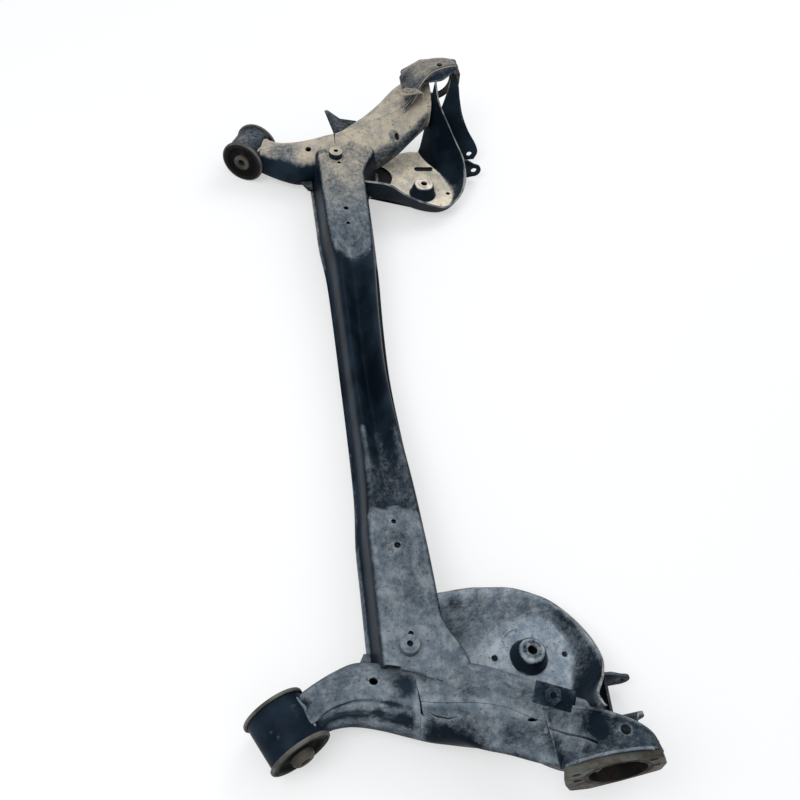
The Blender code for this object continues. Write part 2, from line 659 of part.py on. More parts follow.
def build_hub():
    outline = [(FLANGE_FACE_X, y, z) for y, z in rounded(FLANGE_OUTLINE, FLANGE_CORNER)]
    flange = prism("right_hub_flange", outline, (HUB_PLATE_THICKNESS, 0, 0), paint("flange_metal", STEEL_BARE, 0.55, 0.6))
    before, beyond = FLANGE_FACE_X - 0.01, FLANGE_FACE_X + 0.03
    cut(flange, drill("hub_bore", HUB_BORE_RADIUS, (before, HUB_Y, HUB_Z), (beyond, HUB_Y, HUB_Z), 40))
    for i, (y, z) in enumerate(HUB_BOLTS):
        cut(flange, drill(f"hub_bolt_{i}", HUB_BOLT_RADIUS, (before, y, z), (beyond, y, z), 16))
    rows = []
    for row in through([(*outer, *inner, lip) for inner, outer, lip in CARRIER_ROWS], 2):
        outer, inner, lip = row[:3], row[3:6], row[6]
        across = [outer + (inner - outer) * k / 4 for k in range(4)]
        rows.append([*across, inner + (0.002, 0, 0.0005), inner - (0, 0, 0.0025), inner - (0, 0, lip)])
    carrier = surface("right_hub_carrier", rows, paint("carrier_paint", STEEL_GREY, 0.5, 0.3))
    thicken(carrier, PLATE, even=False)
    cut(carrier, ARM_ENVELOPES[0], FLANGE_SPACE)
    x, y, radius = CARRIER_HOLE
    cut(carrier, drill("carrier_drill", radius, (x, y, 0.15), (x, y, 0.2), 16))


def build_damper_mount():
    strap = sheet_strip("right_damper_strap", [(rear, front) for front, rear in STRAP_ROWS], PLATE,
                        paint("strap_paint", STEEL_DARK, 0.5, 0.3))
    ear_end = [(DAMPER_Y - EAR_RADIUS * math.sin(a), DAMPER_Z - EAR_RADIUS * math.cos(a))
               for a in [math.pi * k / 10 for k in range(11)]]
    outline = [(-0.3780, 0.005), (WEB_Y, 0.003), *ear_end, (-0.415, EAR_HEIGHT), (-0.3945, EAR_HEIGHT)]
    ear = prism("right_damper_bracket", [(EAR_X, y, z) for y, z in outline], (PLATE, 0, 0),
                paint("ear_paint", STEEL_DARK, 0.5, 0.3))
    web_end = STRAP_ROWS[-1][0][0] - PLATE - TOUCH_GAP
    corners = [(EAR_X + PLATE / 2, 0.004), (web_end, 0.008), (web_end + 0.0005, 0.036), (EAR_X + PLATE / 2, 0.044)]
    web = as_cutter(prism("damper_web", [(x, WEB_Y, z) for x, z in corners], (0, PLATE, 0), None))
    join(ear, web)
    drilled = drill("damper_bolt_line", DAMPER_BOLT_RADIUS, (0.50, DAMPER_Y, DAMPER_Z), (0.60, DAMPER_Y, DAMPER_Z), 16)
    cut(strap, drilled, FLANGE_SPACE)
    cut(ear, drilled)


def build_brackets():
    steel = paint("bracket_paint", STEEL_DARK, 0.4, 0.4)
    width, length, sheet = HOSE_PLATE_SIZE
    half = (width / 2, length / 2)
    frame = Matrix.Translation(HOSE_PLATE) @ Matrix.Rotation(HOSE_PLATE_TILT, 4, "Y")
    corners = [frame @ Vector((x * half[0], y * half[1], 0)) for x, y in ((-1, -1), (1, -1), (1, 1), (-1, 1))]
    plate = prism("right_hose_bracket", corners, frame.to_3x3() @ Vector((0, 0, sheet)), steel)
    nut_foot = frame @ Vector((0, 0, sheet + TOUCH_GAP))
    nut_top = frame @ Vector((0, 0, sheet + TOUCH_GAP + HOSE_NUT_HEIGHT))
    nut_metal = paint("nut_metal", STEEL_BARE, 0.5, 0.7)
    nut = cylinder("right_hose_bracket_nut", HOSE_NUT_RADIUS, nut_foot, nut_top, nut_metal, 6)
    bore = drill("hose_bore", 0.0035, frame @ Vector((0, 0, -0.01)), frame @ Vector((0, 0, 0.03)), 12)
    cut(plate, bore)
    cut(nut, bore)
    gusset = prism("right_corner_gusset", [(x, y, GUSSET_Z) for x, y in GUSSET_CORNERS], (0, 0, PLATE),
                   paint("gusset_paint", STEEL_DARK, 0.5, 0.3))
    cut(gusset, BEAM_ENVELOPE, ARM_ENVELOPES[0])
    along = Vector(CABLE_ALONG).normalized()
    face = along.cross(Vector(CABLE_OUT)).normalized()
    out = face.cross(along)
    corners = [Vector(CABLE_FOOT) + s * along + t * out for s, t in CABLE_OUTLINE]
    cable_paint = paint("cable_bracket_paint", STEEL_GREY, 0.7, 0.3)
    cable = prism("right_cable_bracket", corners, face * CABLE_SHEET, cable_paint)
    cut(cable, ARM_ENVELOPES[0])


def mirror_of(item, name):
    """A copy with its modifiers applied, mirrored to the left side."""
    graph = bpy.context.evaluated_depsgraph_get()
    mesh = bpy.data.meshes.new_from_object(item.evaluated_get(graph), depsgraph=graph)
    mesh.name = name
    mesh.transform(Matrix.Scale(-1, 4, (1, 0, 0)) @ item.matrix_world)
    mesh.flip_normals()
    twin = bpy.data.objects.new(name, mesh)
    PARTS.objects.link(twin)
    return twin


def build_left_side():
    bpy.context.view_layer.update()
    for item in [item for item in PARTS.objects if item.name.startswith("right_")]:
        if item.name != "right_cable_bracket":
            mirror_of(item, item.name.replace("right_", "left_"))


def centre_on_floor():
    """Hangs the pieces on one empty, with the middle of their bounds at its origin and their lowest point on the floor."""
    bpy.context.view_layer.update()
    graph = bpy.context.evaluated_depsgraph_get()
    made = [item.evaluated_get(graph) for item in PARTS.objects]
    corners = [item.matrix_world @ vertex.co for item in made for vertex in item.data.vertices]
    low = Vector([min(corner[k] for corner in corners) for k in range(3)])
    high = Vector([max(corner[k] for corner in corners) for k in range(3)])
    frame = bpy.data.objects.new("axle_frame", None)
    PARTS.objects.link(frame)
    for item in [*PARTS.objects, *CUTTERS.objects]:
        if item != frame:
            item.parent = frame
    frame.location = (-(low.x + high.x) / 2, -(low.y + high.y) / 2, -low.z)


clear_scene()
PARTS = new_collection("twist_beam_axle")
CUTTERS = new_collection("cutters", hidden=True)
BUSH_TURN = Matrix.Rotation(-BUSH_TOE, 4, "Z") @ Matrix.Rotation(math.pi / 2, 4, "Y")
BUSH_FRAME = Matrix.Translation((BUSH_SPACING / 2, 0, FLANGE_RADIUS)) @ BUSH_TURN
ARM_ENVELOPES = build_arm_envelopes()
BEAM_ENVELOPE = build_beam_envelope()
FLANGE_SPACE = build_flange_space()
build_crossbeam()
build_boss()
build_arm()
build_bush()
build_spring_pan()
build_hub()
build_damper_mount()
build_brackets()
build_left_side()
centre_on_floor()
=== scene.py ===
"""Looks of the twist-beam rear axle: fine sheet metal, welds, bushes and worn, dusty paint.

The pieces are shaped in the axle's own frame, with y = 0 on the bush centres, and then moved into the row
frame. Each is made on the right and mirrored to the left, except the cable bracket of the right arm.
"""

import json
import math

import bmesh
import bpy
import numpy as np
from mathutils import Matrix, Vector, noise
from mathutils.bvhtree import BVHTree

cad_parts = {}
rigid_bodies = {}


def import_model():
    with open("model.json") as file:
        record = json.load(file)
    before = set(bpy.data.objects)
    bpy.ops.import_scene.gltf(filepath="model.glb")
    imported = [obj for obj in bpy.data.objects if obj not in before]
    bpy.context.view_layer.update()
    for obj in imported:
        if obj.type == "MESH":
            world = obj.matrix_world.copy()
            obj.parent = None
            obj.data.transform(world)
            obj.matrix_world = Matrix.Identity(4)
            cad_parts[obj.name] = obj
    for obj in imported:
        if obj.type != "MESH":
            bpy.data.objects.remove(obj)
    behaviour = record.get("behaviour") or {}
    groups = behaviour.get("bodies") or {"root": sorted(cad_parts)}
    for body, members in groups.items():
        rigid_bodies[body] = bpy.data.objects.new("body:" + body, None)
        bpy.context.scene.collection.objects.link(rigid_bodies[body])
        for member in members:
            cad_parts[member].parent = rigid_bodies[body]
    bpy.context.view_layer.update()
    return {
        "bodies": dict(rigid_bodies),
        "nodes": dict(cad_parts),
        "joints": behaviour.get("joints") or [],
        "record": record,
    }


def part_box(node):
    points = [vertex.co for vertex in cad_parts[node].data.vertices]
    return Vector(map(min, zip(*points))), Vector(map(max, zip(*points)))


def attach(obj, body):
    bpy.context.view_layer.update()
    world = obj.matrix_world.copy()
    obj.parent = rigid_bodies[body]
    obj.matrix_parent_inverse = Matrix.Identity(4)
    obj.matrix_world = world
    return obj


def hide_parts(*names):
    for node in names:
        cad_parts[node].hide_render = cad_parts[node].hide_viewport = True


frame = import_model()
LOW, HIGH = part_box("right_bush_housing")
PLACE = Vector((0, (LOW.y + HIGH.y) / 2, 0))   # of the axle's frame in the row frame

# General
TOUCH_GAP = 0.0003
TURNED_SEGMENTS = 96
ARM_SHEET = 0.004
BEAM_SHEET = 0.0045
PAN_SHEET = 0.0035
PLATE = 0.004

# Bush
BUSH_SPACING = 1.100
BUSH_TOE = math.radians(28)
BUSH_LENGTH = 0.058
HOUSING_RADIUS = 0.037
HOUSING_WALL = 0.0037
FLANGE_RADIUS = 0.0405
FLANGE_THICKNESS = 0.0045
SLEEVE_WALL = 0.0025
CORE_RADIUS = 0.0150
CORE_TIP_RADIUS = 0.0120
CORE_BORE_RADIUS = 0.0065
CORE_PROUD_OUTBOARD = 0.009
CORE_PROUD_INBOARD = 0.003
RUBBER_GROOVE = 0.004
GROOVE_PROFILE = (          # share of the rubber's width, share of the groove's depth
    (0.00, 0.0), (0.10, 0.05), (0.22, 0.45), (0.35, 0.86), (0.50, 1.0),
    (0.65, 0.86), (0.78, 0.45), (0.90, 0.05), (1.0, 0.0),
)

# Crossbeam
BEAM_Y = -0.158
BEAM_END_X = 0.527
BEAM_LIP_Z = 0.018
BEAM_TOP_Z = 0.0875
BEAM_MID_TOP_Z = 0.070
BEAM_LIPS = (
    (-0.110, -0.1185, -0.2020),
    (0.000, -0.1185, -0.1985),
    (0.110, -0.1185, -0.2020),
    (0.220, -0.1170, -0.2085),
    (0.300, -0.1110, -0.2115),
    (0.360, -0.1100, -0.2135),
    (0.450, -0.1085, -0.2150),
    (0.560, -0.1070, -0.2155),
)
PAD_END_X = 0.277
PAD_END_ROUND = 0.020
TROUGH_STEP = 0.010
TROUGH_STEP_LENGTH = 0.017
TROUGH_DEPTH = 0.018
TROUGH_RUN = 0.150
TONGUE = (
    (0.489, -0.09), (0.497, -0.124), (0.504, -0.148), (0.509, -0.162),
    (0.5215, -0.183), (0.526, -0.205), (0.520, -0.228), (0.507, -0.252),
)
BEAM_FLARE = 0.026          # how far its rear side spreads where it meets the arm
BEAM_FLARE_X = 0.430
TONGUE_BACK = ((0.507, -0.28), (0.58, -0.28), (0.58, -0.09))   # closes its cutter round the arm
BEAM_HOLES = ((0.298, 0.0035), (0.335, 0.0045), (0.460, 0.0035))
BOSS = (0.478, -0.153)
BOSS_RADIUS = 0.0125
BOSS_HEIGHT = 0.012
BOSS_BORE_RADIUS = 0.004

# Trailing arm
ARM_SECTIONS = (
    (-0.0200, 0.5393, 0.0405, -28, 0.027, 0.027, 0.0290, 0.0290, 0.019, 0.0200),
    (-0.0430, 0.5255, 0.0405, -20, 0.028, 0.029, 0.0315, 0.0315, 0.020, 0.0220),
    (-0.0670, 0.5175, 0.0405, -9, 0.033, 0.033, 0.0350, 0.0350, 0.023, 0.0250),
    (-0.0900, 0.5145, 0.0405, -3, 0.038, 0.038, 0.0380, 0.0370, 0.027, 0.0270),
    (-0.1180, 0.5200, 0.0415, 0, 0.040, 0.040, 0.0385, 0.0380, 0.028, 0.0275),
    (-0.1450, 0.5275, 0.0430, 0, 0.043, 0.043, 0.0385, 0.0385, 0.031, 0.0280),
    (-0.1700, 0.5340, 0.0450, 0, 0.046, 0.046, 0.0390, 0.0390, 0.034, 0.0290),
    (-0.1950, 0.5400, 0.0500, 0, 0.050, 0.048, 0.0420, 0.0420, 0.044, 0.0300),
    (-0.2220, 0.5465, 0.0560, 0, 0.052, 0.050, 0.0460, 0.0450, 0.057, 0.0300),
    (-0.2500, 0.5560, 0.0640, 0, 0.050, 0.049, 0.0440, 0.0450, 0.064, 0.0380),
    (-0.2800, 0.5730, 0.0750, 0, 0.050, 0.048, 0.0360, 0.0430, 0.067, 0.0480),
    (-0.3100, 0.5930, 0.0900, 0, 0.047, 0.050, 0.0330, 0.0410, 0.057, 0.0460),
    (-0.3425, 0.6150, 0.1060, 0, 0.043, 0.038, 0.0400, 0.0410, 0.037, 0.0380),
)
ARM_START_Y = -0.020
ARM_SPLIT_Y = -0.157
ARM_END_Y = -0.3425
ARM_LAP = 0.026
LAP_CLEARANCE = 0.0014
RIDGE_SHIFT = 0.013
SEAM_OPEN = 0.0006          # between the two rear shells
ARM_HOLE = (0.512, -0.106, 0.0055)
FAR_HOLE = (0.528, -0.273, 0.0048)   # in the right arm alone
SIDE_HOLE = (0.553, -0.105, 0.055)
SIDE_HOLE_RADIUS = 0.0042
SEAM_SLOT = (0.5885, -0.2805)        # in the left arm alone, as are the ledge and the hub cover's groove
SEAM_SLOT_HALF = (0.0026, 0.0068)
CRACK = (
    (0.5190, -0.1566), (0.5400, -0.1566), (0.5570, -0.1566),
    (0.5600, -0.1600), (0.5540, -0.1592), (0.5380, -0.1584),
)
LEDGE = (
    (0.5560, -0.1640), (0.5640, -0.1740), (0.5700, -0.1880),
    (0.5690, -0.2010), (0.5683, -0.1880), (0.5625, -0.1750),
)

# Spring pan
SEAT_X = 0.471
SEAT_Y = -0.325
SEAT_HOLE_RADIUS = 0.0065
SEAT_TOP_RADIUS = 0.017
SEAT_FOOT_RADIUS = 0.027
SEAT_RING_RADIUS = 0.038
SEAT_HEIGHT = 0.030
PAN_HOLES = ((0.468, -0.279, 0.0045), (0.471, -0.375, 0.0040))
PAN_SLOT = (0.545, -0.338, 0.0065, 0.024)
PAN_OPENING = (0.521, -0.236, 0.036)
PAN_OUTLINE = (
    (0.466, -0.2030, 0.410, -0.2000, 0.0870),
    (0.460, -0.2420, 0.404, -0.2440, 0.0830),
    (0.449, -0.2780, 0.397, -0.2750, 0.0665),
    (0.430, -0.3100, 0.393, -0.3090, 0.0515),
    (0.422, -0.3420, 0.399, -0.3480, 0.0350),
    (0.432, -0.3660, 0.413, -0.3700, 0.0315),
    (0.451, -0.3770, 0.440, -0.3910, 0.0340),
    (0.474, -0.3790, 0.472, -0.4030, 0.0430),
    (0.500, -0.3750, 0.503, -0.4010, 0.0620),
    (0.528, -0.3680, 0.530, -0.3900, 0.0780),
    (0.550, -0.3560, 0.551, -0.3730, 0.1060),
    (0.568, -0.3460, 0.573, -0.3550, 0.1370),
    (0.590, -0.3380, 0.592, -0.3490, 0.1590),
    (0.612, -0.3340, 0.613, -0.3470, 0.1760),
    (0.650, -0.3300, 0.651, -0.3400, 0.1500),
    (0.690, -0.3100, 0.691, -0.3200, 0.0600),
)
PAN_FLOOR_EDGE = (
    (0.695, -0.280), (0.680, -0.240), (0.640, -0.202), (0.580, -0.200),
    (0.545, -0.201), (0.512, -0.202), (0.494, -0.203),
)
PAN_TRIM = (
    (0.562, -0.15), (0.566, -0.20), (0.577, -0.24), (0.588, -0.28),
    (0.599, -0.315), (0.601, -0.42), (0.72, -0.42), (0.72, -0.15),
)

# Hub plates
HUB_Y = -0.357
HUB_Z = 0.1325
HUB_BORE_RADIUS = 0.0335
FLANGE_FACE_X = 0.6545
HUB_PLATE_THICKNESS = 0.008
FLANGE_OUTLINE = (
    (-0.292, 0.148), (-0.327, 0.172), (-0.366, 0.177), (-0.397, 0.174), (-0.410, 0.146),
    (-0.411, 0.122), (-0.372, 0.095), (-0.338, 0.077), (-0.315, 0.077), (-0.304, 0.100),
)
FLANGE_CORNER = 0.006
HUB_BOLTS = ((-0.307, 0.138), (-0.314, 0.115), (-0.388, 0.1655), (-0.398, 0.144))
HUB_BOLT_RADIUS = 0.0050
HUB_COLLAR_LENGTH = 0.0098
HUB_COLLAR_WALL = 0.0040
CARRIER_ROWS = (
    ((0.576, -0.292, 0.1215), (0.6560, -0.290, 0.139), 0.003),
    ((0.583, -0.306, 0.137), (0.6560, -0.296, 0.151), 0.003),
    ((0.596, -0.325, 0.165), (0.6560, -0.309, 0.165), 0.005),
    ((0.607, -0.343, 0.1785), (0.6560, -0.330, 0.175), 0.020),
    ((0.619, -0.367, 0.1810), (0.6560, -0.362, 0.181), 0.026),
    ((0.630, -0.385, 0.1780), (0.6560, -0.388, 0.178), 0.016),
    ((0.639, -0.396, 0.1700), (0.6560, -0.402, 0.166), 0.006),
    ((0.6425, -0.399, 0.1580), (0.6560, -0.407, 0.148), 0.003),
)
CARRIER_HOLE = (0.632, -0.360, 0.0060)
CARRIER_GROOVE = (
    (0.6020, -0.2900), (0.6200, -0.3060), (0.6395, -0.3270),
    (0.6420, -0.3262), (0.6225, -0.3045), (0.6035, -0.2890),
)

# Damper mount
DAMPER_Y = -0.4320
DAMPER_Z = 0.0235
DAMPER_BOLT_RADIUS = 0.0055
EAR_X = 0.5165
EAR_RADIUS = 0.0140
EAR_HEIGHT = 0.048
WEB_Y = -0.4080
STRAP_ROWS = (
    ((0.6504, -0.388, 0.163), (0.6504, -0.4000, 0.148)),
    ((0.6440, -0.390, 0.134), (0.6460, -0.4080, 0.128)),
    ((0.6220, -0.377, 0.106), (0.6230, -0.4090, 0.112)),
    ((0.5990, -0.362, 0.080), (0.5970, -0.4130, 0.093)),
    ((0.5830, -0.361, 0.056), (0.5790, -0.4250, 0.070)),
    ((0.5740, -0.364, 0.036), (0.5700, -0.4410, 0.047)),
    ((0.5690, -0.375, 0.020), (0.5680, -0.4480, 0.029)),
    ((0.5680, -0.395, 0.006), (0.5675, -0.4430, 0.012)),
)

# Small brackets
HOSE_PLATE = (0.578, -0.2950, 0.1518)
HOSE_PLATE_SIZE = (0.025, 0.042, 0.003)
HOSE_PLATE_TILT = math.radians(14)
HOSE_PLATE_YAW = math.radians(20)
HOSE_PLATE_BEND = 0.008     # length of the plate's rear edge, which is bent down
HOSE_BEND_RADIUS = 0.005
HOSE_BORE_RADIUS = 0.0035
HOSE_NUT_RADIUS = 0.0110
HOSE_NUT_HEIGHT = 0.006
GUSSET_CORNERS = ((0.5000, -0.080), (0.4560, -0.1040), (0.4560, -0.1120), (0.5000, -0.1120))
GUSSET_Z = 0.024
CABLE_FOOT = (0.569, -0.160, 0.067)
CABLE_ALONG = (0.016, -0.046, 0.010)
CABLE_OUT = (0.72, 0.0, 0.69)
CABLE_OUTLINE = (
    (0.000, -0.012), (0.000, 0.048), (0.006, 0.047), (0.022, 0.024), (0.050, 0.009), (0.050, -0.012),
)
CABLE_SHEET = 0.0025

# Welds
WELD_SPACING = 0.0009       # between two rings of a bead
WELD_RIPPLE = 0.0034
BUSH_WELD_LENGTH = 0.046
BUSH_WELD_Y = -0.0275
BUSH_WELD_RISE = 0.0265
CARRIER_WELD = (
    (0.6535, -0.292, 0.147), (0.6535, -0.309, 0.168), (0.6535, -0.332, 0.178),
    (0.6535, -0.362, 0.183), (0.6535, -0.390, 0.180),
)
CARRIER_FRONT_WELD = (
    (0.574, -0.2912, 0.121), (0.590, -0.2908, 0.123), (0.606, -0.2902, 0.119),
    (0.622, -0.2892, 0.108), (0.632, -0.2882, 0.094),
)
PAN_WELD = (
    (0.598, -0.338, 0.150), (0.585, -0.335, 0.128), (0.574, -0.332, 0.106),
    (0.562, -0.325, 0.085), (0.548, -0.310, 0.068),
)

# Camera, in the axle's frame
CAMERA_PLACE = (-0.94233576, 0.03992023, 1.18020212)
CAMERA_RIGHT = (-0.135318789, -0.985082169, 0.106310609)
CAMERA_DOWN = (-0.784894671, 0.041095941, -0.618264894)
CAMERA_AHEAD = (0.604672788, -0.167105487, -0.778746798)
CAMERA_LENS = 42.75

# Paint and dirt, linear colours
PAINT_DARK = (0.0040, 0.0075, 0.0130)
PAINT_BLUE = (0.0130, 0.0230, 0.0350)
DUST_GREY = (0.105, 0.132, 0.160)
DUST_LIGHT = (0.220, 0.246, 0.268)
DUST_SAND = (0.290, 0.275, 0.240)
DUST_BEIGE = (0.460, 0.400, 0.310)
RUST = (0.075, 0.026, 0.012)
# Also the near black of the painted shade inside the hub bores
RUBBER_AND_SHADE_BLACK = (0.005, 0.005, 0.005)
RUBBER_DUSTY = (0.030, 0.028, 0.024)
METAL_OLIVE = (0.088, 0.093, 0.080)
METAL_SLEEVE = (0.120, 0.118, 0.104)
METAL_CORE = (0.095, 0.088, 0.076)
# Sheet edges: pale as wear and as a painted highlight
EDGE_PALE_AND_HIGHLIT = (0.230, 0.235, 0.220)
EDGE_DARK = (0.040, 0.048, 0.056)
PAINT_SPECULAR = 0.02
BEAM_CLEAN_STEPS = (        # shift of its middle to the left, half length, fade at its ends, dust taken off
    (0.022, 0.256, 0.012, 0.27),
    (-0.048, 0.174, 0.008, 0.34),
    (-0.048, 0.174, 0.090, 0.28),
)
BEAM_CLEAN_BOW = 12.0       # how far their ends bow, for each square metre off the centre line
ARM_SPOTS = (               # spots of dust, or of clean paint below 0: place, radius, amount
    ((-0.522, -0.146, 0.078), 0.018, -0.50), ((-0.538, -0.126, 0.072), 0.012, -0.40),
    ((-0.548, -0.108, 0.068), 0.008, -0.45), ((-0.551, -0.085, 0.066), 0.008, -0.45),
    ((-0.553, -0.060, 0.064), 0.008, -0.45), ((-0.556, -0.140, 0.068), 0.012, -0.45),
    ((-0.590, -0.200, 0.060), 0.040, -0.38), ((-0.605, -0.262, 0.090), 0.022, -0.35),
    ((-0.625, -0.300, 0.105), 0.022, -0.65), ((-0.605, -0.300, 0.060), 0.020, -0.50),
    ((-0.527, -0.020, 0.072), 0.009, -0.70), ((-0.512, -0.106, 0.080), 0.014, 0.15),
    ((0.500, -0.050, 0.045), 0.045, -0.35),
)
SHELL_SPOTS = (((-0.552, -0.215, 0.098), 0.020, -0.30), ((0.530, -0.266, 0.097), 0.013, -0.50))
BEAM_SPOTS = (
    ((-0.33, -0.165, 0.087), 0.018, -0.15), ((-0.478, -0.153, 0.09), 0.05, 0.15),
    ((0.45, -0.16, 0.088), 0.05, 0.12),
)
PAN_SPOTS = (
    ((-0.414, -0.224, 0.074), 0.012, -0.20), ((-0.425, -0.385, 0.040), 0.024, -0.10),
    ((-0.471, -0.325, 0.022), 0.027, -0.66), ((-0.471, -0.325, 0.031), 0.014, -0.25),
    ((0.471, -0.325, 0.022), 0.024, -0.75), ((-0.520, -0.385, 0.070), 0.026, -0.25),
    ((-0.450, -0.300, 0.003), 0.016, -0.20),
)
HOUSING_SPOTS = (
    ((-0.568, 0.012, 0.076), 0.006, 0.55), ((-0.560, 0.020, 0.073), 0.005, 0.5),
    ((-0.536, -0.010, 0.074), 0.010, 0.35), ((-0.585, -0.024, 0.066), 0.007, 0.55),
)
CARRIER_SPOTS = (
    ((-0.600, -0.306, 0.148), 0.024, 0.34), ((-0.630, -0.306, 0.152), 0.018, 0.28),
    ((-0.610, -0.336, 0.172), 0.012, -0.30), ((-0.628, -0.332, 0.174), 0.012, -0.30),
)

# Stage
FLOOR_HALF = 14
FLOOR_TONE = 0.88
FLOOR_GLOW = (0.9, 2.5, 0.5, 1.0)   # distances from the middle and the shares of glow there
PATCH_RISE = 0.0002
PAN_SHADE_TONE = 0.022      # painted shade: the tone of a dark sheet on the floor under each pan, seen through its holes
PAN_SHADE_OUTLINE = (
    (0.470, -0.196), (0.462, -0.222), (0.430, -0.318), (0.427, -0.345), (0.448, -0.374),
    (0.472, -0.382), (0.500, -0.378), (0.564, -0.352), (0.566, -0.196),
)
BEAM_SHADE_TONE = 0.5       # painted shade: the tone of a darker sheet, without the floor's glow, under the crossbeam, seen through its holes
BEAM_SHADE_OUTLINE = ((0.49, -0.13), (-0.49, -0.13), (-0.49, -0.19), (0.49, -0.19))
SKY_COLOUR = (0.94, 0.97, 1.0, 1)
SKY_STRENGTH = 0.75
LIGHTS = (                  # name, place, size, power
    ("key", (-0.9, 1.3, 2.3), 1.3, 30),
    ("back", (1.7, -1.2, 2.0), 1.6, 22),
)


def ease(value):
    """A smooth step from 0 to 1."""
    value = min(max(value, 0.0), 1.0)
    return value * value * (3 - 2 * value)


def through(points, per_span, closed=False):
    """Points on a smooth curve through the given ones."""
    points = [np.array(point, float) for point in points]
    count = len(points)
    result = []
    for i in range(count if closed else count - 1):
        if closed:
            a, b, c, d = (points[(i + k) % count] for k in (-1, 0, 1, 2))
        else:
            b, c = points[i], points[i + 1]
            a = points[i - 1] if i else 2 * b - c
            d = points[i + 2] if i + 2 < count else 2 * c - b
        for step in range(per_span):
            t = step / per_span
            result.append(b + 0.5 * t * (c - a + t * (2 * a - 5 * b + 4 * c - d + t * (3 * (b - c) + d - a))))
    if not closed:
        result.append(points[-1])
    return result


def steps_between(start, end, spacing):
    return np.linspace(start, end, max(2, round(abs(end - start) / spacing) + 1))


# Shapes


def add_object(name, data):
    item = bpy.data.objects.new(name, data)
    bpy.context.scene.collection.objects.link(item)
    return item


def surface(name, rows, wrap_rows=False, wrap_columns=False):
    """A sheet through rows of points. Its normal is the way across a row crossed with that down the rows."""
    across = len(rows[0])
    faces = []
    for r in range(len(rows) - (0 if wrap_rows else 1)):
        s = (r + 1) % len(rows)
        for c in range(across - (0 if wrap_columns else 1)):
            d = (c + 1) % across
            faces.append((r * across + c, r * across + d, s * across + d, s * across + c))
    mesh = bpy.data.meshes.new(name)
    mesh.from_pydata([tuple(point) for row in rows for point in row], [], faces)
    mesh.validate()
    return add_object(name, mesh)


def thicken(item, thickness, even=True):
    """Gives a sheet its wall, on the side that its normal leaves. Its edges take the second material slot."""
    for _ in range(2):
        item.data.materials.append(None)
    sheet = item.modifiers.new("sheet", "SOLIDIFY")
    sheet.thickness = thickness
    sheet.offset = -1
    sheet.use_even_offset = even
    sheet.material_offset_rim = 1


def cut(item, *cutters):
    for cutter in cutters:
        hole = item.modifiers.new(cutter.name, "BOOLEAN")
        hole.operation = "DIFFERENCE"
        hole.object = cutter


def join(item, other):
    union = item.modifiers.new(other.name, "BOOLEAN")
    union.operation = "UNION"
    union.object = other


def bevel(item, width, segments=2, first=False):
    edge = item.modifiers.new("edge", "BEVEL")
    edge.width = width
    edge.segments = segments
    edge.limit_method = "ANGLE"
    edge.angle_limit = math.radians(35)
    if first:
        item.modifiers.move(len(item.modifiers) - 1, 0)


def cylinder(name, radius, start, end, segments=48):
    """A solid cylinder from one point to another."""
    start, end = Vector(start), Vector(end)
    mesh = bpy.data.meshes.new(name)
    work = bmesh.new()
    bmesh.ops.create_cone(
        work, cap_ends=True, segments=segments, radius1=radius, radius2=radius, depth=(end - start).length
    )
    work.to_mesh(mesh)
    work.free()
    turn = (end - start).to_track_quat("Z", "Y").to_matrix().to_4x4()
    mesh.transform(Matrix.Translation((start + end) / 2) @ turn)
    return add_object(name, mesh)


def prism(name, corners, offset):
    """A plate between a flat outline and the same outline moved by the offset."""
    mesh = bpy.data.meshes.new(name)
    work = bmesh.new()
    face = work.faces.new([work.verts.new(corner) for corner in corners])
    made = bmesh.ops.extrude_face_region(work, geom=[face])
    moved = [element for element in made["geom"] if isinstance(element, bmesh.types.BMVert)]
    bmesh.ops.translate(work, vec=offset, verts=moved)
    bmesh.ops.recalc_face_normals(work, faces=work.faces)
    work.to_mesh(mesh)
    work.free()
    return add_object(name, mesh)


def capped(item):
    """Closes both ends of a tube of faces."""
    work = bmesh.new()
    work.from_mesh(item.data)
    bmesh.ops.holes_fill(work, edges=[edge for edge in work.edges if edge.is_boundary], sides=0)
    bmesh.ops.recalc_face_normals(work, faces=work.faces)
    work.to_mesh(item.data)
    work.free()
    return item


def rounded(corners, radius, steps=8):
    """An outline in two dimensions with an arc at each corner."""
    result = []
    for i, corner in enumerate(corners):
        corner = np.array(corner)
        back = np.array(corners[i - 1]) - corner
        on = np.array(corners[(i + 1) % len(corners)]) - corner
        back, on = back / np.linalg.norm(back), on / np.linalg.norm(on)
        half = math.acos(float(np.dot(back, on))) / 2
        middle = (back + on) / np.linalg.norm(back + on)
        centre = corner + middle * radius / math.sin(half)
        first = corner + back * radius / math.tan(half) - centre
        last = corner + on * radius / math.tan(half) - centre
        sweep = math.acos(float(np.dot(first, last)) / radius**2)
        for k in range(steps + 1):
            share = k / steps
            blend = (math.sin((1 - share) * sweep) * first + math.sin(share * sweep) * last) / math.sin(sweep)
            result.append(tuple(centre + blend))
    return result


BUSH_TURN = Matrix.Rotation(-BUSH_TOE, 4, "Z") @ Matrix.Rotation(math.pi / 2, 4, "Y")
BUSH_FRAME = Matrix.Translation((BUSH_SPACING / 2, 0, FLANGE_RADIUS)) @ BUSH_TURN
HUB_FRAME = Matrix(((0, 0, 1, 0), (1, 0, 0, HUB_Y), (0, 1, 0, HUB_Z), (0, 0, 0, 1)))


def turned(name, profile, frame=BUSH_FRAME):
    """A turned piece on the axis of a frame, from a closed profile of (distance outboard, radius)."""
    rows = []
    for k in range(TURNED_SEGMENTS):
        a = 2 * math.pi * k / TURNED_SEGMENTS
        c, s = math.cos(a), math.sin(a)
        rows.append([frame @ Vector((radius * c, radius * s, along)) for along, radius in profile])
    return surface(name, rows, wrap_rows=True, wrap_columns=True)


